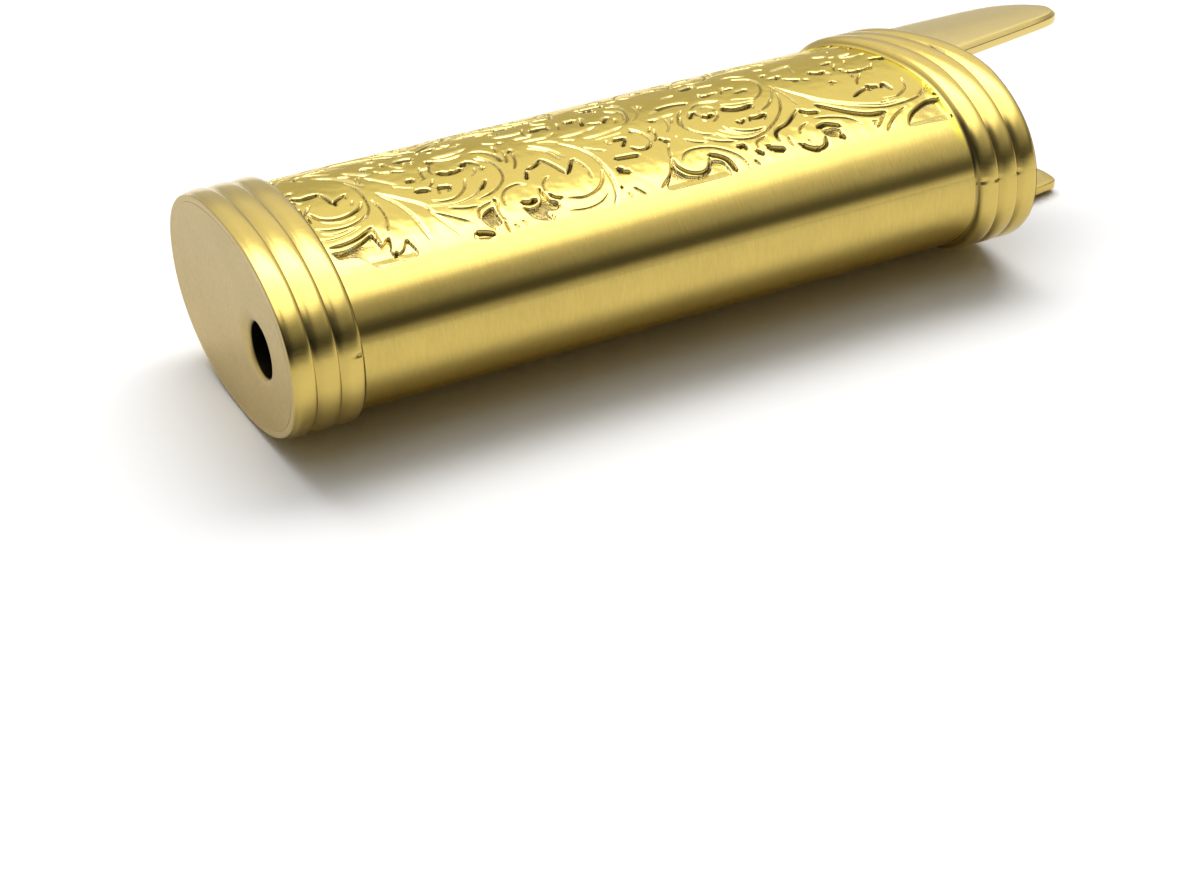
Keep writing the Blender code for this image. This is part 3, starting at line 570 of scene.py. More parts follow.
# Camera: place, tilt from straight down, roll and heading, and lens on a 36 mm wide sensor
CAMERA_PLACE = (-97.75 * MM, -178.03 * MM, 108.42 * MM)
CAMERA_ANGLES = (58.583, 1.689, -27.809)
CAMERA_LENS = 76.04
CAMERA_SENSOR = 36.0
CAMERA_CLIP = (0.01, 20.0)

# Lamp behind the case: place, width and height
WINDOW_PLACE = (0.12, 0.255, 0.52)
WINDOW_SIZE = (0.75, 0.30)


def colour_property(name, description, default):
    return FloatVectorProperty(name=name, description=description, subtype="COLOR", size=3, default=default,
                               min=0.0, max=1.0)


class StageLook(bpy.types.PropertyGroup):
    floor_colour: colour_property("Floor colour", "Colour of the table top", (0.88, 0.88, 0.87))
    floor_size: FloatProperty(
        name="Floor size", description="Width of the table top", unit="LENGTH", default=3.0)
    window_power: FloatProperty(
        name="Window light", description="Power of the lamp behind the case", unit="POWER", default=3.65)


class MetalLook(bpy.types.PropertyGroup):
    engraved_colour: colour_property("Engraved brass", "Colour of the sleeve", (0.695, 0.535, 0.138))
    brushed_colour: colour_property("Brushed brass", "Colour of the collars and ears", (0.628, 0.468, 0.128))
    matte_colour: colour_property("Matte brass", "Colour of the base plate", (0.487, 0.371, 0.157))
    bronze_colour: colour_property("Spring bronze", "Colour of the grip spring", (0.60, 0.36, 0.17))
    # Partly fresh metal, partly a painted sheen that keeps the cut walls pale and yellow
    fresh_and_sheen_colour: colour_property("Fresh cut", "Colour of the walls of the cuts", (0.70, 0.585, 0.26))
    # Painted reflection: saturated yellow for light bounced between the top collar and the sleeve
    bounce_reflection_colour: colour_property(
        "Painted bounce reflection", "Colour of the sleeve at the foot of the top collar", (0.76, 0.65, 0.07))
    # Patina in the cuts, also used for painted shade at the collars and in the push-out hole
    patina_and_shade_colour: colour_property(
        "Patina and painted shade", "Colour at the bottom of the deep cuts", (0.085, 0.066, 0.024))
    ground_colour: colour_property(
        "Stained ground", "Colour of the darkest sunk grounds", (0.15, 0.113, 0.045))


class EngravingLook(bpy.types.PropertyGroup):
    depth_share: FloatProperty(
        name="Depth", description="Share of the full depth of the cuts", subtype="FACTOR", default=1.0,
        min=0.2, max=1.3)


class RibLook(bpy.types.PropertyGroup):
    depth: FloatProperty(
        name="Groove depth", description="Depth of the grooves between the ribs", unit="LENGTH",
        default=0.36 * MM)


class EarLook(bpy.types.PropertyGroup):
    edge_break: FloatProperty(
        name="Edge break", description="Radius that softens the outer edge of an ear", unit="LENGTH",
        default=0.48 * MM)


def add_node(tree, kind, inputs=None, **settings):
    """A shader node with its settings, and its inputs set to values or linked to sockets."""
    node = tree.nodes.new(kind)
    for name, value in settings.items():
        setattr(node, name, value)
    for name, value in (inputs or {}).items():
        if isinstance(value, bpy.types.NodeSocket):
            tree.links.new(value, node.inputs[name])
        else:
            node.inputs[name].default_value = value
    return node


def attribute(tree, name):
    return add_node(tree, "ShaderNodeAttribute", attribute_name=name).outputs["Fac"]


def figure(tree, operation, *values):
    """What one operation makes of sockets and numbers."""
    return add_node(tree, "ShaderNodeMath", dict(enumerate(values)), operation=operation).outputs[0]


def grey_ramp(tree, value, levels):
    """Grey that goes through (position, level) pairs."""
    node = add_node(tree, "ShaderNodeValToRGB", {"Fac": value})
    bands = node.color_ramp.elements
    while len(bands) < len(levels):
        bands.new(1.0)
    for band, (place, level) in zip(bands, levels):
        band.position = place
        band.color = (level, level, level, 1.0)
    return node.outputs["Color"]


def mix(tree, factor, below, above, blend="MIX", kind="RGBA"):
    """A colour or VALUE that goes from `below` to `above` with the factor; each may be a socket."""
    node = add_node(tree, "ShaderNodeMix", data_type="FLOAT" if kind == "VALUE" else kind, blend_type=blend)
    for name, value in (("Factor", factor), ("A", below), ("B", above)):
        wanted = "VALUE" if name == "Factor" else kind
        socket = next(entry for entry in node.inputs if entry.name == name and entry.type == wanted)
        if isinstance(value, bpy.types.NodeSocket):
            tree.links.new(value, socket)
        else:
            socket.default_value = (*value, 1.0) if wanted == "RGBA" else value
    return next(entry for entry in node.outputs if entry.type == kind)


def remap(tree, value, low, high, to_low=0.0, to_high=1.0):
    """A value taken from one range to another and held inside it."""
    return add_node(tree, "ShaderNodeMapRange", {
        "Value": value, "From Min": low, "From Max": high, "To Min": to_low, "To Max": to_high}
    ).outputs["Result"]


def tinted(colour, share):
    return tuple(min(part * share, 1.0) for part in colour)


def stretched_noise(tree, place, pitch, detail):
    """Noise whose grains are `pitch` millimetres long in x, y and z."""
    spread = add_node(tree, "ShaderNodeMapping", {
        "Vector": place, "Scale": tuple(1 / (length * MM) for length in pitch)})
    return add_node(tree, "ShaderNodeTexNoise", {
        "Vector": spread.outputs["Vector"], "Scale": 1.0, "Detail": detail, "Roughness": 0.6}).outputs["Fac"]


def add_bump(tree, height, distance, strength=1.0):
    """Lay a bump, `distance` millimetres high, over those that the metal has."""
    normal = tree.nodes["Principled BSDF"].inputs["Normal"]
    inputs = {"Height": height, "Distance": distance * MM, "Strength": strength}
    if normal.is_linked:
        inputs["Normal"] = normal.links[0].from_socket
    tree.links.new(add_node(tree, "ShaderNodeBump", inputs).outputs["Normal"], normal)


def add_coats(tree, body, *coats):
    """Lay colours over a metal, each (attribute, value where it begins, share at 1, colour)."""
    for name, begin, share, colour in coats:
        body = mix(tree, remap(tree, attribute(tree, name), begin, 1.0, 0.0, share), body, colour)
    tree.links.new(body, tree.nodes["Principled BSDF"].inputs["Base Color"])


def add_matte(tree, rough, name):
    """Make a metal matte where an attribute is 1."""
    matte = mix(tree, attribute(tree, name), rough, MATTE_ROUGHNESS, kind="VALUE")
    tree.links.new(matte, tree.nodes["Principled BSDF"].inputs["Roughness"])


def metal_material(name, colour, roughness, brush, brush_depth, grain, grain_depth, pits, tint=1.0,
                   streak=0.10, kept=None):
    """A worked metal: brushed lines of length `brush`, a fine grain, clouded tone and a few pits.

    Lengths are in millimetres. With `kept`, the brushed lines are full where that attribute is 1 and
    faint where it is 0.
    """
    metal = bpy.data.materials.new(name)
    metal.use_nodes = True
    tree = metal.node_tree
    shader = tree.nodes["Principled BSDF"]
    shader.inputs["Metallic"].default_value = 1.0
    shader.inputs["Specular Tint"].default_value = (*(1 - tint * (1 - part) for part in EDGE_TINT), 1.0)
    place = add_node(tree, "ShaderNodeTexCoord").outputs["Object"]
    lines = stretched_noise(tree, place, brush, 3.0)
    fine = stretched_noise(tree, place, (grain,) * 3, 2.0)
    clouds = stretched_noise(tree, place, (CLOUD_SIZE,) * 3, 2.0)
    body = mix(tree, remap(tree, clouds, 0.3, 0.7), *(tinted(colour, share) for share in CLOUD_TINTS))
    streaks = remap(tree, lines, 0.25, 0.75, 0.0, streak)
    strength = 1.0
    if kept:
        strength = remap(tree, attribute(tree, kept), 0.0, 1.0, FAINT_BRUSH)
        streaks = figure(tree, "MULTIPLY", streaks, strength)
    body = mix(tree, streaks, body, tinted(colour, STREAK_TINT))
    rough = remap(tree, lines, 0.3, 0.7, *(share * roughness for share in ROUGH_SPREAD))
    dots = add_node(tree, "ShaderNodeTexVoronoi", {"Vector": place, "Scale": PIT_SCALE, "Randomness": 1.0})
    keep = add_node(tree, "ShaderNodeSeparateColor", {"Color": dots.outputs["Color"]}).outputs["Red"]
    near = remap(tree, dots.outputs["Distance"], *PIT_EDGE)
    pit = figure(tree, "MULTIPLY", figure(tree, "LESS_THAN", keep, pits), near)
    body = mix(tree, pit, body, tinted(colour, PIT_TINT))
    tree.links.new(body, shader.inputs["Base Color"])
    tree.links.new(rough, shader.inputs["Roughness"])
    add_bump(tree, lines, brush_depth, strength)
    add_bump(tree, fine, grain_depth)
    return tree, place, body, rough


def make_metals():
    """The finishes of the case: engraved, brushed and matte brass, and spring bronze."""
    look = bpy.context.scene.case_metal

    tree, place, body, rough = metal_material(
        "sleeve_brass", look.engraved_colour, roughness=0.13, brush=(0.18, 1.1, 1.1), brush_depth=0.0036,
        grain=0.10, grain_depth=0.0014, pits=0.012, streak=0.34, kept="plain")
    punch = add_node(tree, "ShaderNodeTexVoronoi", {"Vector": place, "Scale": PUNCH_SCALE, "Randomness": 0.8})
    dents = remap(tree, punch.outputs["Distance"], 0.05, 0.45)
    add_bump(tree, figure(tree, "MULTIPLY", dents, attribute(tree, "ground")), PUNCH_DEPTH)
    plain = attribute(tree, "plain")
    swells = stretched_noise(tree, place, (SWELL_SIZE,) * 3, 1.0)
    add_bump(tree, swells, SWELL_DEPTH, remap(tree, plain, 0.0, 1.0, 1.0, 0.06))
    toned = tuple(0.99 * brushed / cut for brushed, cut in zip(look.brushed_colour, look.engraved_colour))
    body = mix(tree, plain, body, toned, "MULTIPLY")
    # Coats: paler cut walls, part fresh metal and part painted sheen; stained grounds; painted reflection
    # beside the top collar; patina in the cuts, with painted shade and grime at the collar's foot
    add_coats(tree, body, ("carved", 0.0, 0.75, look.fresh_and_sheen_colour), ("ground", 0.0, 0.85, look.ground_colour),
              ("bounce_reflection", 0.0, 0.9, look.bounce_reflection_colour), ("cut", 0.3, 1.0, look.patina_and_shade_colour))
    add_matte(tree, rough, "cut")

    tree, place, body, rough = metal_material(
        "collar_brass", look.brushed_colour, roughness=0.20, brush=(2.0, 0.16, 0.16), brush_depth=0.0010,
        grain=0.06, grain_depth=0.0010, pits=0.008, tint=0.0)
    # Coats: matte ground; painted sheen on the upper ear; painted shade and grime in the grooves, round the
    # low side and at the foot, with tarnish on the lip
    add_coats(tree, body, ("ground", 0.0, 1.0, look.matte_colour), ("ear_sheen", 0.0, 1.0, UPPER_EAR_SHEEN_COLOUR),
              ("foot", 0.0, 1.0, look.patina_and_shade_colour))
    add_matte(tree, rough, "ground")

    tree, place, body, rough = metal_material(
        "plate_brass", look.matte_colour, roughness=MATTE_ROUGHNESS, brush=(2.0, 0.14, 0.5),
        brush_depth=0.0008, grain=0.05, grain_depth=0.0018, pits=0.03, tint=0.0)
    # Painted shade: the plate is darker and yellower towards the bottom, and the hole and the pocket side are
    # near black
    height = add_node(tree, "ShaderNodeSeparateXYZ", {"Vector": place}).outputs["Z"]
    body = mix(tree, remap(tree, height, *LOWER_PLATE_SHADE_HEIGHTS), body, LOWER_PLATE_SHADE_SHARES, "MULTIPLY")
    add_coats(tree, body, ("hole_shade", 0.0, 1.0, tinted(look.patina_and_shade_colour, 0.25)))

    metal_material("leaf_bronze", look.bronze_colour, roughness=0.28, brush=(3.0, 0.10, 0.10),
                   brush_depth=0.0010, grain=0.06, grain_depth=0.0006, pits=0.01)


def new_object(name, bm, material, body, *nodes, slot, sharp):
    """Put a finished mesh in the scene, riding on its body and standing for its construction nodes."""
    mesh = bpy.data.meshes.new(name)
    bm.to_mesh(mesh)
    bm.free()
    mesh.shade_smooth()
    mesh.set_sharp_from_angle(angle=math.radians(sharp))
    mesh.materials.append(bpy.data.materials[material])
    piece = bpy.data.objects.new(name, mesh)
    bpy.context.scene.collection.objects.link(piece)
    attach(piece, body)
    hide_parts(*nodes)


def section_at(level, turn):
    """Width and height of the oval at angles `turn` from the thumb side, `level` below the crests."""
    across, upward = np.cos(turn), np.sin(turn)
    y = (HALF_WIDTH - level) * np.sign(across) * np.abs(across) ** (2 / SECTION_POWER)
    z = (HALF_THICKNESS - level) * np.sign(upward) * np.abs(upward) ** (2 / SECTION_POWER)
    return y, AXIS_Z + z


def section_height(level, y):
    """Half height of the section at width `y`, `level` below the crests."""
    share = np.minimum(np.abs(y) / (HALF_WIDTH - level), 1.0)
    return (HALF_THICKNESS - level) * (1.0 - share ** SECTION_POWER) ** (1.0 / SECTION_POWER)


def girth_table():
    """Angle against distance round the sleeve from the crest of the engraved face."""
    turn = np.linspace(1.5 * math.pi, -0.5 * math.pi, GIRTH_POINTS)
    y, z = section_at(BODY_LEVEL, turn)
    girth = np.concatenate([[0.0], np.cumsum(np.hypot(np.diff(y), np.diff(z)))])
    girth -= np.interp(-math.pi / 2, -turn, girth)
    return girth, turn


GIRTH, TURN = girth_table()


def turn_at(girth):
    return np.interp(girth, GIRTH, TURN)


def smooth_step(value):
    value = np.clip(value, 0.0, 1.0)
    return value * value * (3 - 2 * value)


def sweep_share(y):
    """How far the top edge has come down at width `y`: 0 on the high side, 1 on the thumb side."""
    return smooth_step((y + SWEEP_START) / (HALF_WIDTH + SWEEP_START))


def in_pairs(numbers):
    return tuple(zip(numbers[::2], numbers[1::2]))


def curve_through(points, steps=8):
    """Points on a smooth curve through the given ones."""
    points = np.array(points, float)
    if len(points) == 2:
        return np.linspace(points[0], points[1], 3)
    ends = np.vstack([2 * points[0] - points[1], points, 2 * points[-1] - points[-2]])
    t = np.linspace(0, 1, steps, endpoint=False)[:, None]
    runs = []
    for a, b, c, d in zip(ends, ends[1:], ends[2:], ends[3:]):
        runs.append(0.5 * (2 * b + (c - a) * t + (2 * a - 5 * b + 4 * c - d) * t * t
                           + (3 * b - a - 3 * c + d) * t ** 3))
    return np.vstack([*runs, points[-1:]])


def distance_to(path, x, v):
    """Least distance from each point of the grid to a path, and the share of the path's length there."""
    steps = np.hypot(*np.diff(path, axis=0).T)
    along = np.concatenate([[0.0], np.cumsum(steps)])
    best = np.full(x.shape, np.inf)
    share = np.zeros(x.shape)
    for (ax, av), (bx, bv), start, length in zip(path, path[1:], along, steps):
        t = np.clip(((x - ax) * (bx - ax) + (v - av) * (bv - av)) / length ** 2, 0, 1)
        gap = np.hypot(x - ax - t * (bx - ax), v - av - t * (bv - av))
        nearer = gap < best
        best = np.where(nearer, gap, best)
        share = np.where(nearer, (start + t * length) / along[-1], share)
    return best, share


def inside(polygon, x, v):
    """Which grid points lie inside a closed path."""
    found = np.zeros(x.shape, bool)
    for (ax, av), (bx, bv) in zip(polygon, polygon[1:]):
        crosses = (av > v) != (bv > v)
        rise = bv - av if bv != av else 1.0
        found ^= crosses & (x < ax + (v - av) * (bx - ax) / rise)
    return found


def window(points, x, v, margin):
    """Slices of the grid that hold the points and a margin."""
    points = np.array(points)
    low, high = points.min(0) - margin, points.max(0) + margin
    rows = slice(np.searchsorted(x.max(1), low[0]), np.searchsorted(x.min(1), high[0]))
    columns = slice(*np.searchsorted(v[0], (low[1], high[1])))
    return rows, columns


def turned(points):
    """The same points turned half round about the middle of the engraved face."""
    return tuple((PANEL_TURN_SUM - x, -v) for x, v in points)


def rounded_wall(gap, reach, depth):
    """Depth at a distance `gap` outside the edge of a cut whose shoulder is worn round."""
    return depth * (1 - np.clip(gap / reach, 0.0, 1.0)) ** 3


def keep_higher(layer, area, values):
    layer[area] = np.maximum(layer[area], values)


def sink_ground(polygon, x, v, depth, dark, ground, floors):
    """Sink the ground inside a polygon, shallower toward the border, and stain it."""
    area = window(polygon, x, v, POCKET_SHOULDER)
    x, v = x[area], v[area]
    outline = curve_through(polygon + polygon[:1], 5)
    gap, _ = distance_to(outline, x, v)
    gap = np.where(inside(outline, x, v), -gap, gap)
    to_border = np.clip((POCKET_BORDER - np.abs(v)) / POCKET_BORDER_SLOPE, 0.0, 1.0)
    floor = POCKET_BORDER_DEPTH + (POCKET_DEPTH - POCKET_BORDER_DEPTH) * to_border ** POCKET_BORDER_CURVE
    shoulder = POCKET_SHOULDER_DEPTH * np.clip(to_border * SHOULDER_GAIN, SHOULDER_LEAST, 1.0)
    worn = np.where(gap > 0, rounded_wall(gap, POCKET_SHOULDER, shoulder), shoulder)
    keep_higher(depth, area, floor * smooth_step(0.5 - gap / WALL_WIDTH) + worn)
    tarnish = GROUND_TARNISH
    for *place, reach in STAINS:
        for px, pv in (place, *turned((place,))):
            tarnish = np.maximum(tarnish, smooth_step(1.3 - np.hypot(x - px, v - pv) / reach))
    keep_higher(ground, area, smooth_step(0.4 - gap / GROUND_FADE) * tarnish)
    keep_higher(floors, area, smooth_step((-gap - FLOOR_INSET) / FLOOR_FADE))
    crease = smooth_step(1 - np.abs(gap + 0.02) / CREASE_WIDTH)
    keep_higher(dark, area, CREASE_TONE * to_border * crease)


def press_cut(graver, points, x, v, depth, dark):
    """Press one cut into the face: a flat with a steep wall and a worn shoulder, thinner at its ends."""
    flat, wall, reach, shoulder, patina = GRAVERS[graver]
    middle = sum(around for _, around in points) / len(points)
    spread = 1 + FAR_SPREAD * smooth_step((middle - FAR_FROM) / FAR_FADE)
    area = window(points, x, v, spread * (flat + reach + WALL_WIDTH))
    gap, share = distance_to(curve_through(points), x[area], v[area])
    gap = gap / spread
    ends = np.clip(np.minimum(share, 1 - share) * (SLOT_ENDS if graver == "slot" else CUT_ENDS), 0.0, 1.0)
    swell = END_SWELL + (1 - END_SWELL) * ends ** END_CURVE
    edge = gap - flat * swell
    steep = wall * swell * smooth_step(1 - edge / WALL_WIDTH)
    reach *= END_REACH + (1 - END_REACH) * swell
    worn = rounded_wall(edge - WALL_WIDTH / 2, reach, shoulder * swell)
    keep_higher(depth, area, steep + worn)
    keep_higher(dark, area, patina * swell * smooth_step(1 - (gap - flat) / (2 * WALL_WIDTH)))


def relief(x, v):
    """Depth of the engraving in millimetres, and shares of patina, tarnished ground and pocket floor."""
    depth, dark, ground, floors = layers = np.zeros((4, *x.shape))
    for polygon in map(in_pairs, POCKETS):
        sink_ground(polygon, x, v, *layers)
        sink_ground(turned(polygon), x, v, *layers)
    for graver, *strokes in CUTS:
        for points in map(in_pairs, strokes):
            press_cut(graver, points, x, v, depth, dark)
            if max(around for _, around in points) < FAR_BORDER_FROM:
                press_cut(graver, turned(points), x, v, depth, dark)
    return depth, dark, ground, floors


def sleeve_rows():
    """Distances round the sleeve: fine over the engraved face, coarser elsewhere."""
    half = GIRTH[-1]
    count = round(2 * PANEL_HALF_GIRTH / PANEL_STEP_ROUND)
    fine = np.linspace(-PANEL_HALF_GIRTH, PANEL_HALF_GIRTH, count + 1)
    steps = round((half - PANEL_HALF_GIRTH) / PLAIN_STEP)
    plain = np.linspace(PANEL_HALF_GIRTH, half, steps + 1)[1:]
    return np.concatenate([-plain[::-1], fine, plain])


def grid_skin(places, layers):
    """A closed skin from a grid of faces whose corners go to `places`, columns along and rows round."""
    columns, rows = places.shape[:2]
    bm = bmesh.new()
    tags = {name: bm.verts.layers.float.new(name) for name in layers}
    made = bmesh.ops.create_grid(bm, x_segments=columns - 1, y_segments=rows - 1, size=1.0)
    for vert in made["verts"]:
        column = round((vert.co.x + 1) / 2 * (columns - 1))
        row = round((vert.co.y + 1) / 2 * (rows - 1))
        vert.co = places[column, row]
        for name, tag in tags.items():
            vert[tag] = layers[name][column, row]
    bmesh.ops.remove_doubles(bm, verts=bm.verts, dist=0.0002 * MM)
    bmesh.ops.recalc_face_normals(bm, faces=bm.faces)
    return bm


def ring_at(height, level, turn):
    """Places at a height, or at heights, on the oval `level` below the crests."""
    return np.stack(np.broadcast_arrays(BASE_X + height, *section_at(level, turn)), axis=-1)


def inward_at(turn, places):
    """Direction into the metal, square to the case's axis, at each place of a ring."""
    y, z = section_at(BODY_LEVEL, turn)
    dy, dz = np.gradient(y), np.gradient(z)
    size = np.hypot(dy, dz)
    facing = np.stack([np.zeros_like(y), dz / size, -dy / size], axis=-1)
    outward = np.stack([np.zeros_like(y), y, z - AXIS_Z], axis=-1)
    facing *= np.where((facing * outward).sum(-1) > 0, -1.0, 1.0)[:, None]
    return np.broadcast_to(facing, places.shape)


def foot_shade_and_grime(around):
    """Share of painted shade and grime at the foot of the top collar at places round the case, in
    millimetres.
    """
    kept = smooth_step((around - FOOT_SHADE_END) / FOOT_SHADE_END_FADE)
    kept = FOOT_SHADE_LEFT + (1 - FOOT_SHADE_LEFT) * kept
    return smooth_step((FOOT_SHADE_FROM - around) / FOOT_SHADE_FADE) * kept


def build_sleeve():
    """The engraved sleeve as rings end to end, each with its part of the inner wall."""
    rows = sleeve_rows()
    around = rows / MM
    turn = turn_at(rows)
    sweep = sweep_share(section_at(BODY_LEVEL, turn)[0])
    end = RIM_HEIGHT - LIP_HEIGHT
    share = round((end - SLEEVE_START) / PANEL_STEP_ALONG / SLEEVE_RINGS)
    height = np.linspace(SLEEVE_START, end, share * SLEEVE_RINGS + 1)[:, None]
    height = height - np.clip((height - LEAN_START) / (end - LEAN_START), 0, 1) * RIM_SWEEP * sweep
    depth, dark, ground, floors = relief(height / MM, np.broadcast_to(around, height.shape))
    to_collar = (RIM_HEIGHT - TOP_COLLAR_HEIGHT - COLLAR_FOOT_SWEEP * sweep - height) / MM
    depth *= bpy.context.scene.case_engraving.depth_share * (
        FOOT_DEPTH + (1 - FOOT_DEPTH) * smooth_step((to_collar - FOOT_STRIP) / FOOT_FADE))
    # Painted shade, with grime, on the strip beside the top collar, darkest on the low side
    shade_and_grime = FOOT_TONE * foot_shade_and_grime(around) * smooth_step(1 - (to_collar - FOOT_STRIP) / FOOT_REACH)
    dark = np.maximum(dark, shade_and_grime)
    # Paler brass on the cut walls: fresh metal, and a painted sheen
    carved = np.clip(depth / FRESH_DEPTH, 0.0, 1.0) * (1 - FLOOR_DULLNESS * floors)
    # Painted reflection of light bounced between the sleeve and the top collar
    bounce_reflection = smooth_step(1.6 - to_collar / BOUNCE_REACH) * smooth_step((around - BOUNCE_FROM) / BOUNCE_FADE)
    plain = np.broadcast_to(smooth_step((np.abs(around) - PLAIN_FROM) / PLAIN_FADE), dark.shape)
    places = ring_at(height, BODY_LEVEL, turn)
    places = places + inward_at(turn, places) * (depth * MM)[..., None]
    inner = ring_at(height, POCKET_LEVEL, turn)
    start = np.stack([ring_at(PLATE_LEDGE + SEAM, level, turn) for level in (POCKET_LEVEL, SEAT_LEVEL)])
    # Each layer on the face, and its value on the inner wall
    layers = {"cut": (dark, INNER_TARNISH), "ground": (ground, 0.0), "plain": (plain, 1.0),
              "carved": (carved, 0.0), "bounce_reflection": (bounce_reflection, 0.0)}
    for ring in range(SLEEVE_RINGS):
        first, last = ring * share, (ring + 1) * share
        wall = inner[np.linspace(last, first, INNER_LOOPS).round().astype(int)]
        back = np.concatenate([wall, *([start] if ring == 0 else []), places[first:first + 1]])
        skin = {name: np.concatenate([face[first:last + 1], np.full(back.shape[:2], behind)])
                for name, (face, behind) in layers.items()}
        # The last ring of the skin lies on the first and takes its patina
        skin["cut"][-1] = dark[first]
        bm = grid_skin(np.concatenate([places[first:last + 1], back]), skin)
        new_object(f"engraved_sleeve_{ring + 1}", bm, "sleeve_brass", "case", "body_sleeve",
                   slot="engraved_brass", sharp=85.0)


def stations_at(profile, height, sweep=0.0):
    """Stations (level, height, sweep) of a profile in millimetres that starts from a height."""
    return [(level * MM, height + ahead * MM, sweep) for level, ahead in profile]


def rib_stations(foot, rim, foot_sweep=0.0, rim_sweep=0.0):
    """Stations along the ribs of a collar, from its foot to its rim."""
    depth = bpy.context.scene.case_ribs.depth
    shares = [((rib + along) / RIB_COUNT, sunk) for rib in range(RIB_COUNT) for along, sunk in RIB_PROFILE]
    return [(depth * sunk, foot + share * (rim - foot), foot_sweep + share * (rim_sweep - foot_sweep))
            for share, sunk in shares]


def collar_places(stations):
    """Distances round a collar and the places of its closed skin, with the tool marks pressed in."""
    rows = np.linspace(GIRTH[0], GIRTH[-1], round((GIRTH[-1] - GIRTH[0]) / RING_STEP) + 1)
    turn = turn_at(rows)
    rings = []
    for level, height, sweep in stations + stations[:1]:
        y, z = section_at(level, turn)
        rings.append(np.stack([BASE_X + height - sweep * sweep_share(y), y, z], axis=-1))
    places = np.array(rings)
    inward = inward_at(turn, places)
    around = rows / MM
    heights = (places[..., 0] - BASE_X) / MM
    for height, girth, length, width, depth in NICKS:
        gap = np.hypot((heights - height) / (length / 2), (around - girth) / (width / 2))
        places = places + inward * (depth * MM * smooth_step(1 - gap))[..., None]
    return around, places


def shade_and_grime_tone(shape, around, first_groove, place, reach, share):
    """Painted shade and grime on a collar: in its grooves, and on its ribs about one place round the case."""
    patch = smooth_step(1.35 - np.abs(around - place) / reach)
    tone = np.broadcast_to(share * patch, shape).copy()
    for rib in range(RIB_COUNT):
        groove = first_groove + rib * len(RIB_PROFILE)
        for shift, part in GROOVE_SHADE_AND_GRIME:
            if 0 <= groove + shift < len(tone):
                keep_higher(tone, groove + shift, part * (GROOVE_ROUND + GROOVE_LOW * patch))
    return tone


def build_base_collar():
    """Ribbed ring round the base end, its flat end ground with the plate."""
    ribs = [(min(level, BASE_GROOVE_MOST), height, sweep)
            for level, height, sweep in rib_stations(0.0, BASE_COLLAR_HEIGHT) if height > BASE_RIBS_FROM]
    around, places = collar_places(
        stations_at(BASE_FOOT, 0.0) + ribs + stations_at(BASE_RIM, BASE_COLLAR_HEIGHT))
    ground = np.zeros(places.shape[:2])
    ground[:GROUND_RINGS] = 1.0
    ground[-1] = 1.0
    first_groove = len(BASE_FOOT) + len(ribs) - RIB_COUNT * len(RIB_PROFILE)
    # Painted shade and grime in the grooves and round the low side, and dirt on the last rings
    shade_and_grime = shade_and_grime_tone(ground.shape, around, first_groove, *BASE_SHADE_AND_GRIME)
    shade_and_grime[:GROUND_RINGS] = 0.0
    shade_and_grime[-1 - len(BASE_RIM_DIRT):-1] = np.array(BASE_RIM_DIRT)[:, None]
    new_object("ribbed_base_collar", grid_skin(places, {"ground": ground, "foot": shade_and_grime}), "collar_brass",
               "case", "base_collar", slot="brushed_brass", sharp=50.0)


def build_top_collar():
    """Ribbed ring round the mouth with its inward lip."""
    foot = RIM_HEIGHT - TOP_COLLAR_HEIGHT
    around, places = collar_places(
        stations_at(TOP_FOOT, foot, COLLAR_FOOT_SWEEP)
        + rib_stations(foot, RIM_HEIGHT, COLLAR_FOOT_SWEEP, RIM_SWEEP)[2:]
        + stations_at(TOP_RIM, RIM_HEIGHT, RIM_SWEEP)
        + stations_at(TOP_LIP, RIM_HEIGHT - LIP_HEIGHT, RIM_SWEEP))
    # Painted shade and grime in the grooves, round the low side and at the foot; tarnish on the lip
    shade_and_grime = shade_and_grime_tone(places.shape[:2], around, len(TOP_FOOT) - 2, *TOP_SHADE_AND_GRIME)
    keep_higher(shade_and_grime, slice(0, len(TOP_FOOT_SHADE)), np.array(TOP_FOOT_SHADE)[:, None] * foot_shade_and_grime(around))
    shade_and_grime[-LIP_RINGS:] = LIP_TARNISH
    new_object("ribbed_top_collar", grid_skin(places, {"foot": shade_and_grime}), "collar_brass", "case", "top_collar",
               slot="brushed_brass", sharp=50.0)


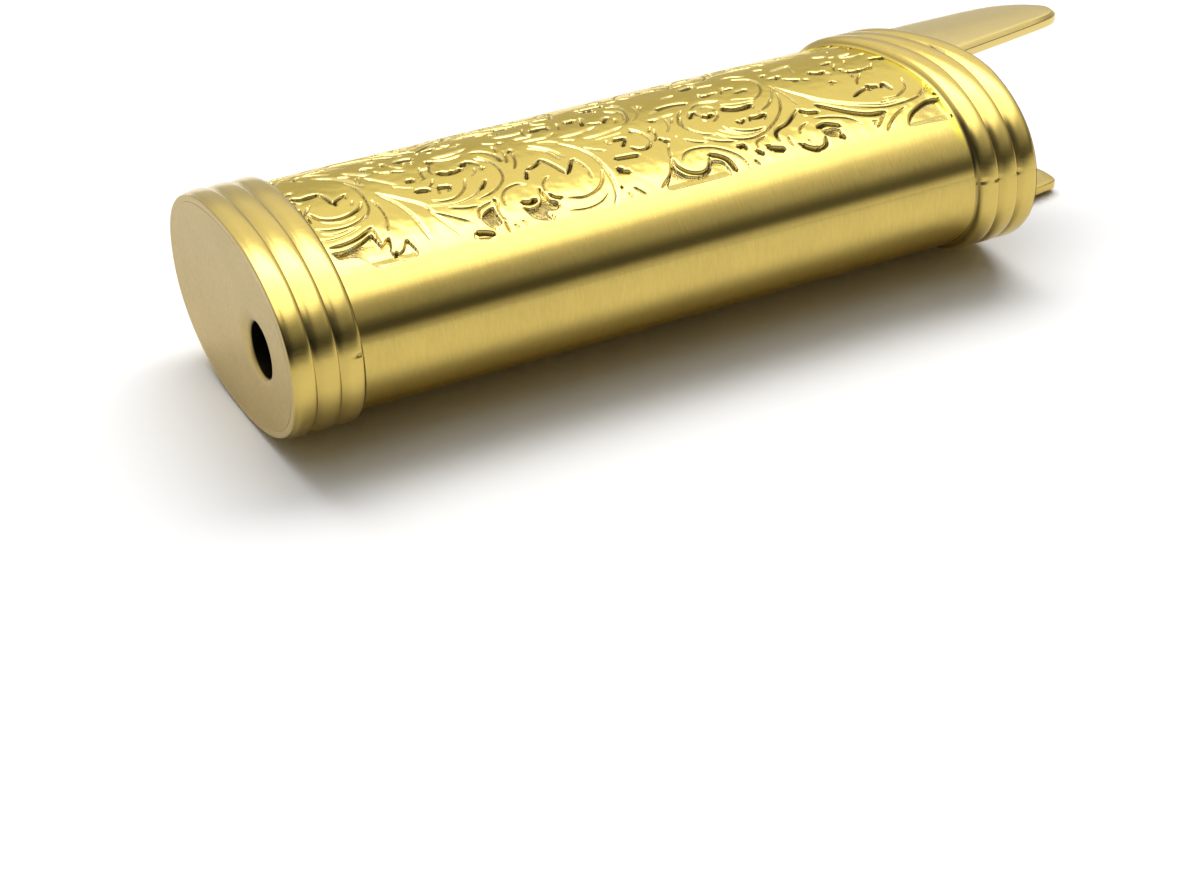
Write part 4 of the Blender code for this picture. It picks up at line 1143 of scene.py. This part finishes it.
def build_ears():
    """Two guard ears: rounded tongues that carry on from the wide faces past the rim."""
    edge = bpy.context.scene.case_ears.edge_break
    profile = [(share, 0.0, 0.0) for share in EAR_SHARES]
    profile += [(1.0, inset * edge, sunk * edge) for inset, sunk in EAR_EDGE]
    profile.append((1.0, 0.0, EAR_MIDDLE * EAR_THICKNESS))
    profile += [(1.0, inset * EAR_INNER_BREAK, EAR_THICKNESS - sunk * EAR_INNER_BREAK)
                for inset, sunk in reversed(EAR_EDGE)]
    profile += [(share, 0.0, EAR_THICKNESS) for share in reversed(EAR_SHARES)]
    for name, (side, numbers) in EARS.items():
        outline = curve_through(in_pairs(numbers), 6) * MM
        outline[:, 0] = np.minimum(outline[:, 0], RIM_HEIGHT + EAR_REACH)
        spine = np.stack([np.minimum(outline[:, 0], EAR_SPINE[0]), np.full(len(outline), EAR_SPINE[1])],
                         axis=-1)
        reach = outline - spine
        length = np.linalg.norm(reach, axis=1)
        rings = []
        for share, inset, sunk in profile:
            kept = length - inset if share == 1.0 else share * (length - edge)
            plan = spine + reach * (kept / length)[:, None]
            z = AXIS_Z + side * section_height(EAR_SETBACK + sunk, plan[:, 1])
            rings.append(np.stack([BASE_X + plan[:, 0], plan[:, 1], z], axis=-1))
        # Painted sheen: paler brass on the upper ear
        ear_sheen = np.full((len(rings), len(outline)), UPPER_EAR_SHEEN * max(side, 0.0))
        bm = grid_skin(np.array(rings), {"ear_sheen": ear_sheen})
        bmesh.ops.holes_fill(bm, edges=[rim for rim in bm.edges if rim.is_boundary])
        bmesh.ops.recalc_face_normals(bm, faces=bm.faces)
        new_object(name, bm, "collar_brass", "case", "top_collar", slot="brushed_brass", sharp=50.0)


def build_base_plate():
    """Flat oval plate with the round push-out hole, closed into the collar with a hair-thin seam."""
    turn = np.linspace(0, 2 * math.pi, PLATE_POINTS + 1)

    def hole_ring(radius, height):
        y, z = radius * np.cos(turn) - PUSH_HOLE_OFFSET, radius * np.sin(turn) + AXIS_Z
        return np.stack(np.broadcast_arrays(BASE_X + height, y, z), axis=-1)

    def between(inner, outer, shares):
        return [inner + (outer - inner) * share for share in shares]

    radius = PUSH_HOLE_RADIUS
    loops = [hole_ring(radius + out * PUSH_HOLE_CHAMFER, down * PUSH_HOLE_CHAMFER) for out, down in HOLE_EDGE]
    outer_edge = ring_at(0.0, PLATE_LEVEL, turn)
    loops += between(loops[-1], outer_edge, OUTER_SHARES)
    loops.append(outer_edge)
    loops += [ring_at(height, level, turn) for height, level in (
        (0.05 * MM, PLATE_LEVEL - 0.03 * MM), (0.3 * MM, PLATE_LEVEL), (0.6 * MM, SEAT_LEVEL),
        (PLATE_LEDGE, SEAT_LEVEL), (PLATE_LEDGE, POCKET_LEVEL),
        (PLATE_THICKNESS - INNER_CORNER, POCKET_LEVEL + 0.02 * MM),
        (PLATE_THICKNESS, POCKET_LEVEL + 0.12 * MM))]
    inner_lip = hole_ring(radius + INNER_CORNER, PLATE_THICKNESS)
    loops += between(loops[-1], inner_lip, INNER_SHARES)
    loops += [inner_lip, hole_ring(radius, PLATE_THICKNESS - INNER_CORNER), loops[0]]
    # Painted shade: the hole's wall and the plate's pocket side are near black
    hole_shade = np.zeros((len(loops), PLATE_POINTS + 1))
    hole_shade[0] = 1.0
    hole_shade[-POCKET_SIDE_RINGS:] = 1.0
    new_object("base_plate_face", grid_skin(np.array(loops), {"hole_shade": hole_shade}), "plate_brass", "case",
               "base_plate", slot="matte_brass", sharp=40.0)


def build_floor():
    """White table top, which camera, mirror and glass rays see as pure white."""
    look = bpy.context.scene.case_stage
    material = bpy.data.materials.new("table_top")
    material.use_nodes = True
    tree = material.node_tree
    shader = tree.nodes["Principled BSDF"]
    rays = add_node(tree, "ShaderNodeLightPath").outputs
    seen = figure(tree, "MAXIMUM", rays["Is Camera Ray"], rays["Is Glossy Ray"])
    seen = figure(tree, "MAXIMUM", seen, rays["Is Transmission Ray"])
    tree.links.new(mix(tree, seen, look.floor_colour, (1.0, 1.0, 1.0)), shader.inputs["Base Color"])
    shader.inputs["Roughness"].default_value = 0.6
    bm = bmesh.new()
    bmesh.ops.create_grid(bm, x_segments=8, y_segments=8, size=look.floor_size / 2)
    bmesh.ops.translate(bm, verts=bm.verts, vec=(0, 0, CAD_BOX[0].z - 0.02 * MM))
    mesh = bpy.data.meshes.new("table_top")
    bm.to_mesh(mesh)
    bm.free()
    mesh.materials.append(material)
    floor = bpy.data.objects.new("table_top", mesh)
    bpy.context.scene.collection.objects.link(floor)


def build_studio():
    """Graded soft light all round, with a box overhead, behind the case."""
    world = bpy.data.worlds.new("studio")
    bpy.context.scene.world = world
    world.cycles.sampling_method = "NONE"
    world.use_nodes = True
    tree = world.node_tree
    tree.nodes.clear()
    facing = add_node(tree, "ShaderNodeTexCoord").outputs["Generated"]
    split = add_node(tree, "ShaderNodeSeparateXYZ", {"Vector": facing}).outputs
    front = grey_ramp(tree, split["Z"], FRONT_LEVELS)
    front = mix(tree, 1.0, front, grey_ramp(tree, split["X"], ALONG_LEVELS), "MULTIPLY")
    front = mix(tree, 1.0, front, (ALONG_GAIN,) * 3, "MULTIPLY")
    back = grey_ramp(tree, split["Z"], BACK_LEVELS)
    field = mix(tree, remap(tree, split["Y"], *FIELD_FADE), front, back)
    box = remap(tree, split["Z"], *BOX_FADE, 1.0, BOX_GAIN)
    growth = remap(tree, split["Z"], *BOX_FADE, 0.0, BOX_GROWTH)
    growth = figure(tree, "MULTIPLY_ADD", remap(tree, split["Y"], *BOX_BEHIND), growth, 1.0)
    box = figure(tree, "MULTIPLY", box, growth)
    diffuse = add_node(tree, "ShaderNodeLightPath").outputs["Is Diffuse Ray"]
    level = figure(tree, "MULTIPLY", box, remap(tree, diffuse, 0.0, 1.0, *STUDIO_STRENGTH))
    soft = add_node(tree, "ShaderNodeBackground", {"Color": field, "Strength": level})
    tree.links.new(soft.outputs[0], add_node(tree, "ShaderNodeOutputWorld").inputs["Surface"])


def hang_window():
    """Broad lamp behind the case, unseen by camera and mirror rays."""
    window = bpy.data.lights.new("window_behind", "AREA")
    window.shape = "RECTANGLE"
    window.size, window.size_y = WINDOW_SIZE
    window.energy = bpy.context.scene.case_stage.window_power
    lamp = bpy.data.objects.new("window_behind", window)
    lamp.location = WINDOW_PLACE
    lamp.rotation_euler = (-Vector(WINDOW_PLACE)).to_track_quat("-Z", "Y").to_euler()
    lamp.visible_camera = False
    lamp.visible_glossy = False
    bpy.context.scene.collection.objects.link(lamp)


def place_camera():
    """Camera where the photograph was taken from."""
    camera = bpy.data.cameras.new("view_of_photo")
    camera.lens = CAMERA_LENS
    camera.sensor_width = CAMERA_SENSOR
    camera.sensor_fit = "HORIZONTAL"
    camera.clip_start, camera.clip_end = CAMERA_CLIP
    eye = bpy.data.objects.new("view_of_photo", camera)
    eye.location = CAMERA_PLACE
    eye.rotation_euler = Euler([math.radians(angle) for angle in CAMERA_ANGLES])
    bpy.context.scene.collection.objects.link(eye)
    bpy.context.scene.camera = eye
    bpy.context.scene.view_settings.view_transform = "Standard"


def finish_spring():
    """Give the grip spring of the construction model its bronze."""
    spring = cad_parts["grip_spring"]
    spring.data.materials.clear()
    spring.data.materials.append(bpy.data.materials["leaf_bronze"])


class CASE_OT_stage(bpy.types.Operator):
    """Set the case on a white table under soft studio light"""
    bl_idname = "case.stage"
    bl_label = "Stage"

    def execute(self, context):
        build_floor()
        build_studio()
        hang_window()
        place_camera()
        return {"FINISHED"}


class CASE_OT_metals(bpy.types.Operator):
    """Mix the brass and bronze finishes"""
    bl_idname = "case.metals"
    bl_label = "Metals"

    def execute(self, context):
        make_metals()
        return {"FINISHED"}


class CASE_OT_sleeve(bpy.types.Operator):
    """Make the engraved sleeve"""
    bl_idname = "case.sleeve"
    bl_label = "Engraved sleeve"

    def execute(self, context):
        build_sleeve()
        return {"FINISHED"}


class CASE_OT_collars(bpy.types.Operator):
    """Make the two ribbed collars"""
    bl_idname = "case.collars"
    bl_label = "Ribbed collars"

    def execute(self, context):
        build_base_collar()
        build_top_collar()
        return {"FINISHED"}


class CASE_OT_ears(bpy.types.Operator):
    """Make the two guard ears"""
    bl_idname = "case.ears"
    bl_label = "Guard ears"

    def execute(self, context):
        build_ears()
        return {"FINISHED"}


class CASE_OT_base_plate(bpy.types.Operator):
    """Make the base plate with its push-out hole"""
    bl_idname = "case.base_plate"
    bl_label = "Base plate"

    def execute(self, context):
        build_base_plate()
        return {"FINISHED"}


class CASE_OT_grip_spring(bpy.types.Operator):
    """Finish the grip spring of the construction model in rolled bronze"""
    bl_idname = "case.grip_spring"
    bl_label = "Grip spring"

    def execute(self, context):
        finish_spring()
        return {"FINISHED"}


class CASE_PT_parts(bpy.types.Panel):
    """The case's pieces and looks"""
    bl_label = "Lighter case"
    bl_idname = "CASE_PT_parts"
    bl_space_type = "VIEW_3D"
    bl_region_type = "UI"
    bl_category = "Lighter case"

    def draw(self, context):
        for step in OPERATORS:
            self.layout.operator(step.bl_idname)
        for name in LOOKS:
            group = getattr(context.scene, name)
            for entry in group.bl_rna.properties:
                if entry.identifier not in ("rna_type", "name"):
                    self.layout.prop(group, entry.identifier)


OPERATORS = (CASE_OT_stage, CASE_OT_metals, CASE_OT_sleeve, CASE_OT_collars, CASE_OT_ears,
             CASE_OT_base_plate, CASE_OT_grip_spring)
LOOKS = {"case_stage": StageLook, "case_metal": MetalLook, "case_engraving": EngravingLook,
         "case_ribs": RibLook, "case_ears": EarLook}
CLASSES = (*LOOKS.values(), *OPERATORS, CASE_PT_parts)


def register():
    for kind in CLASSES:
        bpy.utils.register_class(kind)
    for name, kind in LOOKS.items():
        setattr(bpy.types.Scene, name, PointerProperty(type=kind))


def unregister():
    for name in LOOKS:
        delattr(bpy.types.Scene, name)
    for kind in reversed(CLASSES):
        bpy.utils.unregister_class(kind)


def main():
    register()
    bpy.ops.case.stage()
    bpy.ops.case.metals()
    bpy.ops.case.sleeve()
    bpy.ops.case.collars()
    bpy.ops.case.ears()
    bpy.ops.case.base_plate()
    bpy.ops.case.grip_spring()


if __name__ == "__main__":
    main()
